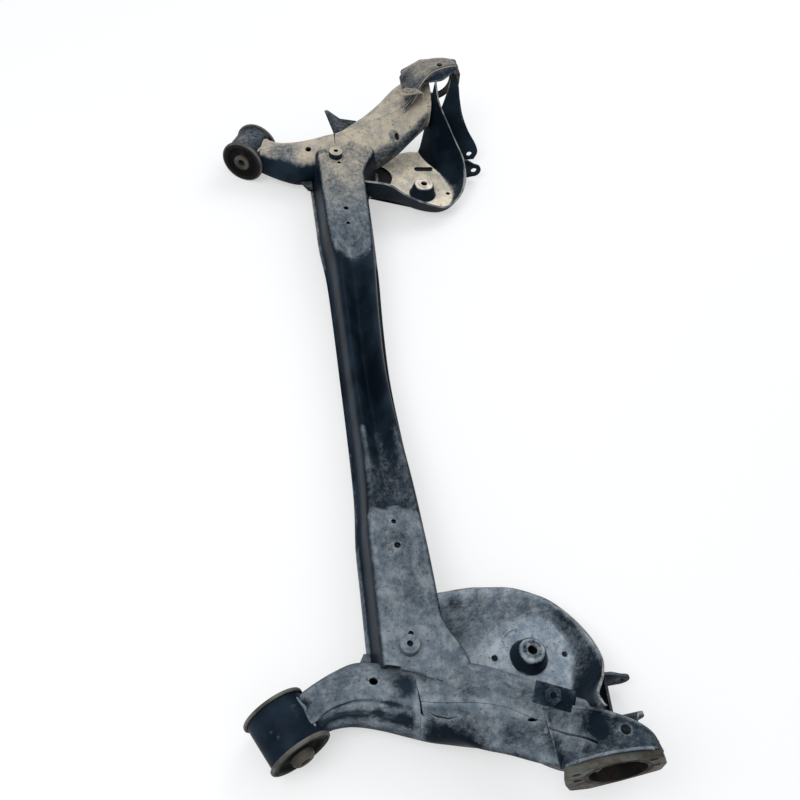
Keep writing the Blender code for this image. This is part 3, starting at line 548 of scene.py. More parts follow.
def arm_section(row, grow=0.0):
    """The eight guide points of a section of the arm, from the seam on its crown inboard, down and back."""
    y, x, z, yaw, inboard, outboard, up, down, corner_out, corner_up = row
    inboard, outboard, up, down = inboard + grow, outboard + grow, up + grow, down + grow
    corner_out, corner_up = corner_out + 0.7 * grow, corner_up + 0.7 * grow
    round_off = 0.72
    points = (
        (RIDGE_SHIFT, up),
        (-round_off * inboard, round_off * up),
        (-inboard, 0.0),
        (-round_off * inboard, -round_off * down),
        (0.0, -down),
        (round_off * outboard, -round_off * down),
        (outboard, 0.0),
        (corner_out, corner_up),
    )
    side = (math.cos(math.radians(yaw)), math.sin(math.radians(yaw)))
    return [(x + out * side[0], y + out * side[1], z + rise) for out, rise in points]


ARM_LINE = through(ARM_SECTIONS, 8)
RING_SPAN = 10              # points of a ring between two guide points


def arm_ring(y, grow=0.0):
    """The section of the arm at one place along it, as a closed ring of points."""
    before = max(i for i, row in enumerate(ARM_LINE[:-1]) if row[0] >= y - 1e-9)
    start, end = ARM_LINE[before], ARM_LINE[before + 1]
    share = (start[0] - y) / (start[0] - end[0])
    return through(arm_section(start + share * (end - start), grow), RING_SPAN, closed=True)


def along_normal(ring, distances):
    """A ring of the arm with each point moved outwards in the ring's plane."""
    result = []
    for i, point in enumerate(ring):
        before, after = point - ring[i - 1], ring[(i + 1) % len(ring)] - point
        way = before / (np.linalg.norm(before) + 1e-12) + after / (np.linalg.norm(after) + 1e-12)
        outward = -np.cross(way, (0.0, 1.0, 0.0))
        result.append(point + outward / np.linalg.norm(outward) * distances[i])
    return result


def hump(value, centre, width):
    return math.exp(-(((value - centre) / width) ** 2))


def rib(y, place, count):
    """How far the pressed rib of the front arm stands out. The place is the point's number in its ring."""
    strength = ease((-0.026 - y) / 0.018) * ease((y + 0.162) / 0.030)
    turn = (place / count + 0.5) % 1.0 - 0.5
    corner = -1 / 8 + 0.012
    ridge = 0.0024 * hump(turn, corner, 0.034)
    groove = 0.0020 * hump(turn, corner + 0.068, 0.020) + 0.0034 * hump(turn, corner - 0.074, 0.026)
    return strength * (ridge - groove)


def beam_lips(x):
    """The y of the front and the rear lip at one place along the crossbeam."""
    for near, far in zip(LIP_LINE, LIP_LINE[1:]):
        if near[0] <= abs(x) <= far[0]:
            share = (abs(x) - near[0]) / (far[0] - near[0])
            return [near[k] + share * (far[k] - near[k]) for k in (1, 2)]
    return BEAM_LIPS[-1][1:]


LIP_LINE = through(BEAM_LIPS, 8)


def trough(x, across):
    """How deep the crossbeam is pressed in. The share across is 0 on its centre line, 1 at a shoulder."""
    end = PAD_END_X + PAD_END_ROUND * across**2
    step = TROUGH_STEP * ease((end - abs(x)) / TROUGH_STEP_LENGTH)
    run = TROUGH_DEPTH * ease((end - TROUGH_STEP_LENGTH - abs(x)) / TROUGH_RUN)
    return (step + run) * (1 - ease(across * 1.02))


def beam_section(x, per_span=1):
    """The outer side of the crossbeam at one place along it, from the front lip over to the rear lip."""
    front, rear = beam_lips(x)
    lip = BEAM_LIP_Z
    top = BEAM_MID_TOP_Z + (BEAM_TOP_Z - BEAM_MID_TOP_Z) * ease(abs(x) / 0.37)
    front_shoulder = front - 0.0165
    rear -= BEAM_FLARE * ease((abs(x) - BEAM_FLARE_X) / 0.075)
    rear_shoulder = rear + 0.0185
    middle = (front_shoulder + rear_shoulder) / 2
    points = [
        (front, lip),
        (front - 0.0035, lip + 0.002),
        (front - 0.0065, lip + 0.008),
        (front - 0.0080, (lip + top) / 2),
        (front - 0.0100, top - 0.014),
        (front - 0.0125, top - 0.005),
        (front_shoulder, top - 0.001),
    ]
    for share in (-0.86, -0.66, -0.46, -0.24, 0.0, 0.24, 0.46, 0.66, 0.86):
        y = middle - share * (front_shoulder - rear_shoulder) / 2
        points.append((y, top - trough(x, abs(share))))
    points += [
        (rear_shoulder, top - 0.001),
        (rear + 0.0140, top - 0.006),
        (rear + 0.0115, top - 0.015),
        (rear + 0.0090, (lip + top) / 2),
        (rear + 0.0070, lip + 0.008),
        (rear + 0.0040, lip + 0.002),
        (rear, lip),
    ]
    return through([(x, y, z) for y, z in points], per_span)


def pan_rows(per_span):
    """Profiles of the pan from its seat hole out to its rim, one for each direction from the seat."""
    floor_z = PAN_SHEET + 0.0015
    beyond = 1.06
    level = [
        (x, y, SEAT_X + beyond * (x - SEAT_X), SEAT_Y + beyond * (y - SEAT_Y), floor_z)
        for x, y in PAN_FLOOR_EDGE
    ]
    rows = []
    for foot_x, foot_y, rim_x, rim_y, rim_z in [*through(PAN_OUTLINE, per_span), *level]:
        reach = math.hypot(foot_x - SEAT_X, foot_y - SEAT_Y)
        way = ((foot_x - SEAT_X) / reach, (foot_y - SEAT_Y) / reach)
        profile = through([
            (SEAT_HOLE_RADIUS, SEAT_HEIGHT),
            (SEAT_TOP_RADIUS - 0.0050, SEAT_HEIGHT),
            (SEAT_TOP_RADIUS - 0.0020, SEAT_HEIGHT - 0.0006),
            (SEAT_TOP_RADIUS + 0.0005, SEAT_HEIGHT - 0.0027),
            (SEAT_TOP_RADIUS + 0.0023, SEAT_HEIGHT - 0.0060),
            (SEAT_FOOT_RADIUS - 0.0050, PAN_SHEET + 0.0120),
            (SEAT_FOOT_RADIUS - 0.0027, PAN_SHEET + 0.0048),
            (SEAT_FOOT_RADIUS - 0.0010, PAN_SHEET + 0.0015),
            (SEAT_FOOT_RADIUS + 0.0020, PAN_SHEET + 0.0001),
            (SEAT_FOOT_RADIUS + 0.0050, PAN_SHEET),
            (SEAT_RING_RADIUS - 0.0020, PAN_SHEET),
            (SEAT_RING_RADIUS + 0.0005, PAN_SHEET + 0.0004),
            (SEAT_RING_RADIUS + 0.0030, PAN_SHEET + 0.0012),
            (SEAT_RING_RADIUS + 0.0060, PAN_SHEET + 0.0015),
        ], 2)
        row = [(SEAT_X + way[0] * radius, SEAT_Y + way[1] * radius, z) for radius, z in profile]
        rise = rim_z - floor_z
        ring = SEAT_RING_RADIUS + 0.006
        start = np.array((SEAT_X + way[0] * ring, SEAT_Y + way[1] * ring))
        foot = np.array((foot_x, foot_y))
        rim = np.array((rim_x, rim_y))
        outer = [(*start, floor_z)]
        outer += [(*(start + share * (foot - start)), floor_z) for share in (0.45, 0.88)]
        for share, height in ((0.10, 0.06), (0.32, 0.24), (0.65, 0.60), (1.0, 1.0)):
            outer.append((*(foot + share * (rim - foot)), floor_z + height * rise))
        rows.append([*row, *through(outer, 4)[1:]])
    return rows


def strip_rows(edges, per_span, across):
    """Rows of points across a strip between two edges."""
    rows = []
    for pair in through([(*first, *second) for first, second in edges], per_span):
        first, second = pair[:3], pair[3:]
        rows.append([first + (second - first) * k / across for k in range(across + 1)])
    return rows


# Materials


class Graph:
    """Builds the nodes of one material, in the axle's frame."""

    def __init__(self, name):
        self.material = bpy.data.materials.new(name)
        self.material.use_nodes = True
        self.tree = self.material.node_tree
        self.shader = self.tree.nodes["Principled BSDF"]
        world = self.node("ShaderNodeTexCoord").outputs["Object"]
        self.place = self.vector("SUBTRACT", world, PLACE)
        self.normal = self.node("ShaderNodeNewGeometry").outputs["Normal"]

    def put(self, socket, value):
        """Links a socket or sets its value."""
        if isinstance(value, bpy.types.NodeSocket):
            self.tree.links.new(value, socket)
        else:
            socket.default_value = (*value, 1) if socket.type == "RGBA" else value

    def node(self, kind, inputs=None, **settings):
        made = self.tree.nodes.new(kind)
        for key, value in settings.items():
            setattr(made, key, value)
        for key, value in (inputs or {}).items():
            self.put(made.inputs[key], value)
        return made

    def vector(self, operation, a, b):
        made = self.node("ShaderNodeVectorMath", {0: a, 1: b}, operation=operation)
        return made.outputs["Value" if operation == "DISTANCE" else "Vector"]

    def math(self, operation, a, b=0.0):
        return self.node("ShaderNodeMath", {0: a, 1: b}, operation=operation).outputs[0]

    def add(self, a, b):
        return self.math("ADD", a, b)

    def minus(self, a, b):
        return self.math("SUBTRACT", a, b)

    def times(self, a, b):
        return self.math("MULTIPLY", a, b)

    def centred(self, noise, amount):
        """A noise that averages to 0."""
        return self.times(self.minus(noise, 0.5), amount)

    def ramp(self, value, low, high, start=0.0, end=1.0):
        """A smooth step from start to end as the value goes from low to high."""
        keys = ("Value", "From Min", "From Max", "To Min", "To Max")
        inputs = dict(zip(keys, (value, low, high, start, end)))
        return self.node("ShaderNodeMapRange", inputs, interpolation_type="SMOOTHSTEP").outputs["Result"]

    def mix(self, share, a, b):
        return self.node("ShaderNodeMix", {"Factor": share, 6: a, 7: b}, data_type="RGBA").outputs[2]

    def mottled(self, a, b, low, high, *noise, shift=0.0):
        """One colour going over to another where a noise goes from low to high."""
        return self.mix(self.ramp(self.noise(*noise, shift=shift), low, high), a, b)

    def scaled(self, colour, factor):
        made = self.node("ShaderNodeVectorMath", {0: colour, "Scale": factor}, operation="SCALE")
        return made.outputs["Vector"]

    def noise(self, scale, detail=4.0, roughness=0.55, stretch=(1, 1, 1), shift=0.0):
        place = self.place
        if stretch != (1, 1, 1) or shift:
            inputs = {"Vector": place, "Scale": stretch, "Location": (shift, 1.7 * shift, -shift)}
            place = self.node("ShaderNodeMapping", inputs).outputs["Vector"]
        inputs = {"Vector": place, "Scale": scale, "Detail": detail, "Roughness": roughness}
        return self.node("ShaderNodeTexNoise", inputs).outputs["Fac"]

    def mirrored_place(self):
        """The place with both sides of the axle on the right."""
        return self.vector("MAXIMUM", self.place, self.vector("MULTIPLY", self.place, (-1, 1, 1)))

    def axis(self, vector, index):
        return self.node("ShaderNodeSeparateXYZ", {0: vector}).outputs[index]

    def bump(self, height, strength, distance, under=None):
        inputs = {"Strength": strength, "Distance": distance, "Height": height}
        if under is not None:
            inputs["Normal"] = under
        return self.node("ShaderNodeBump", inputs).outputs["Normal"]

    def finish(self, colour, roughness, normal, specular=0.5, metallic=0.0):
        names = ("Base Color", "Roughness", "Normal", "Specular IOR Level", "Metallic")
        for name, value in zip(names, (colour, roughness, normal, specular, metallic)):
            self.put(self.shader.inputs[name], value)
        return self.material


def spots_field(g, field, spots):
    """Adds round patches of dust, or of clean paint where the amount is below 0."""
    ragged = g.noise(55, 3, 0.6, shift=4.1)
    for place, radius, amount in spots:
        away = g.add(g.vector("DISTANCE", g.place, place), g.centred(ragged, radius * 0.9))
        field = g.add(field, g.ramp(away, radius * 1.35, radius * 0.30, 0.0, amount))
    return field


def clean_field(g, field, patch):
    """Takes the dust off the middle of the crossbeam, in steps with ragged ends."""
    ragged = g.centred(patch, 0.035)
    across = g.minus(g.axis(g.place, 1), BEAM_Y)
    bow = g.times(g.times(across, across), BEAM_CLEAN_BOW)
    for shift, end, fade, amount in BEAM_CLEAN_STEPS:
        reach = g.math("ABSOLUTE", g.add(g.axis(g.place, 0), shift))
        reach = g.minus(g.add(reach, ragged), bow)
        field = g.minus(field, g.ramp(reach, end, end - fade, 0.0, amount))
    return field


def worn_paint(name, near, far, up_near, up_far, spots=(), beam=False, tone=1.0, far_tone=1.0, calm=1.0,
               crest=0.3, streak=(1.3, 0.75, 1.3)):
    """Dark paint under dust.

    The dust is given for the near and the far side, with what faces that look up have more of. The tones
    scale its colour on each side, and on the pans they brighten it as painted light; calm scales its large
    patches, crest is the dust that outward bends gain as wear and that inward bends and creases lose as
    painted shade, and streak stretches its noises.
    """
    g = Graph(name)
    x = g.axis(g.place, 0)
    blotch, fine = g.noise(8, 4), g.noise(650, 3, 0.75)
    patch, grain = g.noise(34, 5, 0.62, stretch=streak), g.noise(150, 6, 0.75, stretch=streak)
    side = g.ramp(x, -0.10, 0.12)
    up = g.ramp(g.axis(g.normal, 2), 0.15, 0.95)
    field = g.add(g.ramp(side, 0, 1, near, far), g.times(up, g.ramp(side, 0, 1, up_near, up_far)))
    if beam:
        field = clean_field(g, field, patch)
    # Wear and painted shade: outward bends gain dust, inward bends and creases lose it and come out darker
    bend = g.node("ShaderNodeNewGeometry").outputs["Pointiness"]
    field = g.add(field, g.ramp(bend, 0.44, 0.56, -crest, crest))
    for part, amount in ((blotch, 0.40 * calm), (patch, 0.55 * calm), (grain, 0.80), (fine, 0.42)):
        field = g.add(field, g.centred(part, amount))
    field = spots_field(g, field, spots)
    cover = g.ramp(field, 0.20, 0.86)
    paint = g.mottled(PAINT_DARK, PAINT_BLUE, 0.35, 0.7, 16, 3, shift=2.0)
    cool = g.mottled(DUST_GREY, DUST_LIGHT, 0.36, 0.66, 60, 5, 0.65, shift=7.3)
    warm = g.mottled(DUST_SAND, DUST_BEIGE, 0.34, 0.62, 48, 5, 0.65, shift=3.3)
    beige = g.times(g.ramp(x, 0.28, 0.47), g.ramp(field, 0.30, 0.90))
    # On the pans the tones make the dust brighter, as painted light
    dust = g.mix(beige, g.scaled(cool, tone), g.scaled(warm, far_tone))
    nicks = g.times(g.ramp(g.noise(230, 3, 0.6, shift=9.2), 0.60, 0.68), 0.70)
    colour = g.mix(g.times(nicks, cover), g.mix(cover, paint, dust), PAINT_BLUE)
    pale = g.times(g.ramp(g.noise(190, 4, 0.7, shift=1.2), 0.62, 0.74), 0.38)
    colour = g.mix(g.times(pale, g.ramp(field, 0.05, 0.5)), colour, DUST_SAND)
    height = g.add(g.times(grain, 0.7), g.times(cover, 0.5))
    normal = g.bump(fine, 0.3, 0.0004, g.bump(height, 0.6, 0.0010))
    return g.finish(colour, g.ramp(cover, 0.0, 0.75, 0.33, 0.88), normal, PAINT_SPECULAR)


def edge_paint():
    """The sheared edge of a sheet, chipped and dusty, and paler than the paint also as a painted highlight
    where light catches the edge.
    """
    g = Graph("worn_and_highlit_edge_look")
    tone = g.mottled(EDGE_DARK, EDGE_PALE_AND_HIGHLIT, 0.34, 0.62, 60, 4)
    return g.finish(tone, 0.62, g.bump(g.noise(300, 3), 0.3, 0.0004))


def dull_metal(name, colour, rust, roughness=0.55, metallic=0.35, bore=None, coated=None):
    """Bare metal with dirt and rust in patches.

    A bore, given by its middle, is rusted, and it and a narrow ring round it are painted near black as
    painted shade. Rubber coats the metal within a radius of the bush axis.
    """
    g = Graph(name)
    patch = g.ramp(g.noise(70, 5, 0.65), 0.40, 0.66)
    tone = g.mottled(colour, tuple(0.42 * part for part in colour), 0.35, 0.65, 25, 4, shift=3.0)
    amount = rust
    if bore:
        away = g.vector("DISTANCE", g.mirrored_place(), bore)
        amount = g.ramp(away, HUB_BORE_RADIUS + 0.008, HUB_BORE_RADIUS + 0.004, rust, 1.0)
    tone = g.mix(g.times(patch, amount), tone, RUST)
    tone = g.mix(g.ramp(g.noise(340, 3, shift=5.0), 0.60, 0.72, 0.0, 0.3), tone, DUST_LIGHT)
    # Painted shade: the inside of the bore and a narrow ring round it are painted near black
    if bore:
        bore_shade = g.ramp(away, HUB_BORE_RADIUS + 0.0064, HUB_BORE_RADIUS + 0.0052)
        tone = g.mix(g.times(bore_shade, g.ramp(patch, 0, 1, 0.97, 0.75)), tone, RUBBER_AND_SHADE_BLACK)
    if coated:
        axis = BUSH_FRAME.to_3x3() @ Vector((0, 0, 1))
        offset = g.vector("SUBTRACT", g.mirrored_place(), BUSH_FRAME.translation)
        away = g.vector("DISTANCE", g.vector("CROSS_PRODUCT", offset, axis), (0, 0, 0))
        tone = g.mix(g.ramp(away, coated + 0.0008, coated - 0.0008), tone, RUBBER_AND_SHADE_BLACK)
    rough = g.ramp(patch, 0, 1, roughness, 0.85)
    return g.finish(tone, rough, g.bump(g.noise(260, 4, 0.7), 0.4, 0.0006), 0.15, metallic)


def rubber_material():
    g = Graph("bush_rubber_look")
    colour = g.mix(g.ramp(g.noise(45, 5, 0.65), 0.48, 0.76, 0.0, 0.4), RUBBER_AND_SHADE_BLACK, RUBBER_DUSTY)
    return g.finish(colour, 0.85, g.bump(g.noise(380, 3), 0.35, 0.0004), 0.08)


# Pieces

MADE = {}
CUTTERS = []


def settle(item):
    """Applies the modifiers, so that the mesh is final."""
    bpy.context.view_layer.update()
    graph = bpy.context.evaluated_depsgraph_get()
    mesh = bpy.data.meshes.new_from_object(item.evaluated_get(graph), depsgraph=graph)
    item.modifiers.clear()
    item.data = mesh
    return item


def helper(item):
    """A cutter, which is removed once the pieces are made."""
    item.hide_render = True
    CUTTERS.append(item)
    return item


def drill(name, radius, start, end, segments=40):
    return helper(cylinder(name, radius, start, end, segments))


def upright_drill(name, hole, low, high, segments=40):
    """A drill for a hole, given as (x, y, radius), between two heights."""
    x, y, radius = hole
    return drill(name, radius, (x, y, low), (x, y, high), segments)


def mirrored(item, name):
    mesh = item.data.copy()
    mesh.transform(Matrix.Scale(-1, 4, (1, 0, 0)))
    mesh.flip_normals()
    return add_object(name, mesh)


def keep(item, node, slot, *materials, smooth=40):
    """Places a finished piece for a node and rides it on the axle."""
    while len(item.data.materials) < len(materials):
        item.data.materials.append(None)
    while len(item.data.materials) > len(materials):
        item.data.materials.pop()
    for index, material in enumerate(materials):
        item.data.materials[index] = material
    if len(materials) == 1:
        item.data.polygons.foreach_set("material_index", np.zeros(len(item.data.polygons), np.int32))
    item.data.shade_smooth()
    item.data.set_sharp_from_angle(angle=math.radians(smooth))
    item.data.transform(Matrix.Translation(PLACE))
    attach(item, "root")
    if node:
        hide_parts(node)


def keep_both(item, base, slot, *materials, smooth=40, node=True):
    """Keeps a right piece and its mirror image."""
    settle(item)
    item.name = f"right_{base}_look"
    twin = mirrored(item, f"left_{base}_look")
    MADE[base] = (item, twin)
    keep(item, f"right_{base}" if node else None, slot, *materials, smooth=smooth)
    keep(twin, f"left_{base}" if node else None, slot, *materials, smooth=smooth)


def tree_of(*items):
    """A search tree over pieces that are kept already, in the axle's frame."""
    points, faces = [], []
    for item in items:
        start = len(points)
        points += [vertex.co - PLACE for vertex in item.data.vertices]
        faces += [[start + i for i in polygon.vertices] for polygon in item.data.polygons]
    return BVHTree.FromPolygons(points, faces)


def averaged(vectors, reach):
    """Each vector averaged with those around it."""
    result = []
    for i in range(len(vectors)):
        around = vectors[max(0, i - reach):i + reach + 1]
        result.append(sum(around, Vector()) / len(around))
    return result


def weld(name, points, radius, tree, material, seed=0, sink=0.35):
    """A rippled bead of weld through points, each drawn onto the nearest surface."""
    line = through(points, 40)
    lengths = np.concatenate([[0], np.cumsum(np.linalg.norm(np.diff(line, axis=0), axis=1))])
    places = np.arange(0, lengths[-1], WELD_SPACING)
    path = [Vector([np.interp(s, lengths, [p[k] for p in line]) for k in range(3)]) for s in places]
    found = [tree.find_nearest(point) for point in path]
    centres = averaged([hit[0] for hit in found], 3)
    ups = averaged([hit[1] for hit in found], 5)
    last = len(centres) - 1
    rows = []
    for i, (centre, up) in enumerate(zip(centres, ups)):
        up = up.normalized()
        ahead = (centres[min(i + 1, last)] - centres[max(i - 1, 0)]).normalized()
        side = ahead.cross(up).normalized()
        wave = noise.noise((places[i] * 90, seed, 0.5))
        drift = noise.noise((places[i] * 60, seed, 7.5))
        scallop = abs(math.sin(math.pi * (places[i] / WELD_RIPPLE + 0.25 * wave)))
        end = min(1.0, (min(i, last - i) + 0.4) / 4)
        size = radius * (0.82 + 0.18 * scallop + 0.22 * wave) * math.sqrt(end)
        middle = centre - up * radius * sink + side * radius * 0.25 * drift
        angles = [2 * math.pi * k / 12 for k in range(12)]
        rows.append([middle + size * (math.cos(a) * 1.15 * side + math.sin(a) * up) for a in angles])
    bead = capped(surface(name, rows, wrap_columns=True))
    keep_both(bead, name, "grey_steel", material, smooth=50, node=False)


def build_envelopes():
    rows = [arm_ring(y, TOUCH_GAP) for y in steps_between(ARM_START_Y, ARM_END_Y, 0.006)]
    arm = helper(capped(surface("arm_envelope", rows, wrap_columns=True)))
    twin = helper(mirrored(arm, "arm_envelope_left"))
    beam_rows = []
    for x in (0.30, 0.33, 0.36, 0.39, 0.42, 0.46, 0.50, 0.56):
        line = beam_section(x)
        row = [(x, y + TOUCH_GAP * (1 if y > BEAM_Y else -1), z + TOUCH_GAP) for x, y, z in line]
        low = line[0][2] - BEAM_SHEET - TOUCH_GAP
        beam_rows.append([(x, row[0][1], low), *row, (x, row[-1][1], low)])
    beam = helper(capped(surface("beam_envelope", beam_rows, wrap_columns=True)))
    x = FLANGE_FACE_X - TOUCH_GAP
    half = 0.12
    signs = ((-1, -1), (1, -1), (1, 1), (-1, 1))
    corners = [(x, HUB_Y + half * side, HUB_Z + half * rise) for side, rise in signs]
    flange = helper(prism("flange_space", corners, (0.05, 0, 0)))
    return arm, twin, beam, flange


def build_crossbeam(envelopes, paint, edge):
    places = steps_between(-BEAM_END_X, BEAM_END_X, 0.0065)
    beam = surface("crossbeam_look", [beam_section(x, 3) for x in places])
    thicken(beam, BEAM_SHEET)
    cut(beam, *envelopes[:2])
    for side in (1, -1):
        corners = [(side * x, y, -0.02) for x, y in (*through(TONGUE, 5), *TONGUE_BACK)]
        cut(beam, helper(prism(f"tongue_trim_{side}", corners, (0, 0, 0.14))))
        for x, radius in BEAM_HOLES:
            cut(beam, upright_drill("beam_drill", (side * x, BEAM_Y, radius), 0.05, 0.12))
    settle(beam)
    keep(beam, "crossbeam", "beam_steel", paint, edge)
    return beam


def build_arms(envelopes, paint, edge, dusty):
    rings = []
    for y in (*steps_between(ARM_START_Y, ARM_SPLIT_Y + 0.0060, 0.0035), ARM_SPLIT_Y + TOUCH_GAP):
        ring = arm_ring(y)
        rings.append(along_normal(ring, [rib(y, i, len(ring)) for i in range(len(ring))]))
    for y in (ARM_SPLIT_Y, *steps_between(ARM_SPLIT_Y - 0.006, ARM_SPLIT_Y - ARM_LAP, 0.005)):
        ring = arm_ring(y)
        rings.append(along_normal(ring, [-ARM_SHEET - LAP_CLEARANCE] * len(ring)))
    front = surface("front", rings, wrap_columns=True)
    thicken(front, ARM_SHEET)
    reach = Vector((math.cos(BUSH_TOE), -math.sin(BUSH_TOE), 0)) * 0.09
    centre = BUSH_FRAME.translation
    cut(front, drill("bush_clearance", HOUSING_RADIUS + TOUCH_GAP, centre - reach, centre + reach, 96))
    cut(front, upright_drill("arm_drill", ARM_HOLE, 0.06, 0.1))
    x, y, z = SIDE_HOLE
    cut(front, drill("side_drill", SIDE_HOLE_RADIUS, (x - 0.03, y, z), (x + 0.03, y, z)))
    keep_both(front, "front_arm", "grey_steel", paint, edge)

    rows = [arm_ring(y) for y in steps_between(ARM_SPLIT_Y, ARM_END_Y, 0.004)]
    for base, side, slot, look in (
        ("arm_inner_shell", -1, "dusty_steel", dusty), ("arm_outer_shell", 1, "grey_steel", paint),
    ):
        shell = surface(base, rows, wrap_columns=True)
        thicken(shell, ARM_SHEET)
        cut(shell, beside_seam(f"{base}_trim", rows, -side))
        cut(shell, slit("crack", CRACK, 0.06))
        if side > 0:
            cut(shell, envelopes[3])
        keep_both(shell, base, slot, look, edge)
    cut_kept(MADE["arm_inner_shell"][0], upright_drill("far_drill", FAR_HOLE, 0.05, 0.14))
    (x, y), (half_x, half_y) = SEAM_SLOT, SEAM_SLOT_HALF
    turns = np.linspace(0, 2 * math.pi, 24)[:-1]
    ellipse = [(x + half_x * math.cos(a), y + half_y * math.sin(a)) for a in turns]
    for name, outline in (("seam_slot", ellipse), ("ledge", LEDGE)):
        cut_kept(MADE["arm_outer_shell"][1], mirrored_slit(name, outline, 0.06))


def slit(name, outline, low):
    """An upright cutter for an opening in the upper side of a piece."""
    return helper(prism(name, [(x, y, low) for x, y in outline], (0, 0, 0.14)))


def mirrored_slit(name, outline, low):
    """The same cutter for the left side, from an outline on the right."""
    return slit(name, [(-x, y) for x, y in outline], low)


def cut_kept(item, cutter):
    """Cuts one piece that is kept already."""
    cutter.data.transform(Matrix.Translation(PLACE))
    cut(item, cutter)
    settle(item)
    item.data.set_sharp_from_angle(angle=math.radians(40))


def beside_seam(name, rings, side):
    """All of the space on one side of the arm's two seams, as a cutter."""
    out = np.array((side, 0.0, 0.0))
    rows = []
    for i, ring in enumerate(rings):
        crown, foot = np.array(ring[0]), np.array(ring[len(ring) // 2])
        beyond = np.array((0.0, 0.01 * ((i == 0) - (i == len(rings) - 1)), 0.0))
        up = 0.02 * (crown - foot) / np.linalg.norm(crown - foot)
        start = -out * SEAM_OPEN / 2 + beyond
        top, bottom = crown + up + start, foot - up + start
        rows.append([top, top + 0.1 * out, bottom + 0.1 * out, bottom])
    return helper(capped(surface(name, rows, wrap_columns=True)))


def build_bush(paint, metal, rubber, core_metal):
    half = BUSH_LENGTH / 2
    housing_in = HOUSING_RADIUS - HOUSING_WALL
    out = HOUSING_RADIUS
    housing = turned("housing", [
        (half - 0.0006, out), (-half + 0.0006, out), (-half, out - 0.0006),
        (-half, housing_in), (half, housing_in), (half, out - 0.0006),
    ])
    keep_both(housing, "bush_housing", "beam_steel", paint)
    sleeve_out = housing_in - TOUCH_GAP
    sleeve_in = sleeve_out - SLEEVE_WALL
    start = half + TOUCH_GAP
    end = start + FLANGE_THICKNESS
    soft = 0.0011
    sleeve = turned("sleeve", [
        (end, FLANGE_RADIUS - 0.0030), (end - 0.0004, FLANGE_RADIUS - soft),
        (end - soft, FLANGE_RADIUS - 0.0003), (end - 0.0020, FLANGE_RADIUS),
        (start + 0.0006, FLANGE_RADIUS), (start, FLANGE_RADIUS - 0.0006),
        (start, sleeve_out), (-end, sleeve_out), (-end, sleeve_in),
        (end - 0.0012, sleeve_in), (end, sleeve_in + 0.0012),
    ])
    keep_both(sleeve, "bush_sleeve", "bare_steel", metal)
    ring_in = sleeve_out + TOUCH_GAP
    ring = turned("ring", [
        (-start - 0.0005, FLANGE_RADIUS), (-end + 0.0020, FLANGE_RADIUS),
        (-end + soft, FLANGE_RADIUS - 0.0003), (-end + 0.0004, FLANGE_RADIUS - soft),
        (-end, FLANGE_RADIUS - 0.0030), (-end, ring_in),
        (-start, ring_in), (-start, FLANGE_RADIUS - 0.0005),
    ])
    keep_both(ring, "bush_end_ring", "bare_steel", metal)
    rubber_out = sleeve_in - TOUCH_GAP
    rubber_in = CORE_RADIUS + TOUCH_GAP
    face = end - 0.001
    width = rubber_out - rubber_in
    rubber_piece = turned("rubber", [
        *[(-face + RUBBER_GROOVE * deep, rubber_out - width * share) for share, deep in GROOVE_PROFILE],
        *[(face - RUBBER_GROOVE * deep, rubber_in + width * share) for share, deep in GROOVE_PROFILE],
    ])
    keep_both(rubber_piece, "bush_rubber", "rubber", rubber)
    outer_tip = end + CORE_PROUD_OUTBOARD
    inner_tip = -end - CORE_PROUD_INBOARD
    core = turned("core", [
        (outer_tip, CORE_TIP_RADIUS - 0.0012), (outer_tip - 0.0004, CORE_TIP_RADIUS - 0.0003),
        (outer_tip - 0.0040, CORE_RADIUS - 0.0002), (outer_tip - 0.0046, CORE_RADIUS),
        (inner_tip + 0.0006, CORE_RADIUS), (inner_tip, CORE_RADIUS - 0.0006),
        (inner_tip, CORE_BORE_RADIUS + 0.0009), (inner_tip + 0.0009, CORE_BORE_RADIUS),
        (outer_tip - 0.0009, CORE_BORE_RADIUS), (outer_tip, CORE_BORE_RADIUS + 0.0009),
    ])
    keep_both(core, "bush_core", "core_steel", core_metal)


def build_pan(envelopes, paint, edge):
    pan = surface("pan", pan_rows(8), wrap_rows=True)
    thicken(pan, PAN_SHEET, even=False)
    trim = helper(prism("pan_trim", [(x, y, -0.02) for x, y in PAN_TRIM], (0, 0, 0.24)))
    cut(pan, trim, envelopes[2], envelopes[0])
    for hole in PAN_HOLES:
        cut(pan, upright_drill("pan_drill", hole, -0.02, 0.03))
    cut(pan, upright_drill("pan_opening", PAN_OPENING, -0.02, 0.03, 72))
    x, y, half, length = PAN_SLOT
    arc = [math.pi * k / 12 for k in range(13)]
    ends = [(x + half * math.cos(a), y + 0.5 * length + half * math.sin(a), -0.02) for a in arc]
    ends += [(x - half * math.cos(a), y - 0.5 * length - half * math.sin(a), -0.02) for a in arc]
    cut(pan, helper(prism("pan_slot", ends, (0, 0, 0.05))))
    keep_both(pan, "spring_pan", "dusty_steel", paint, edge)


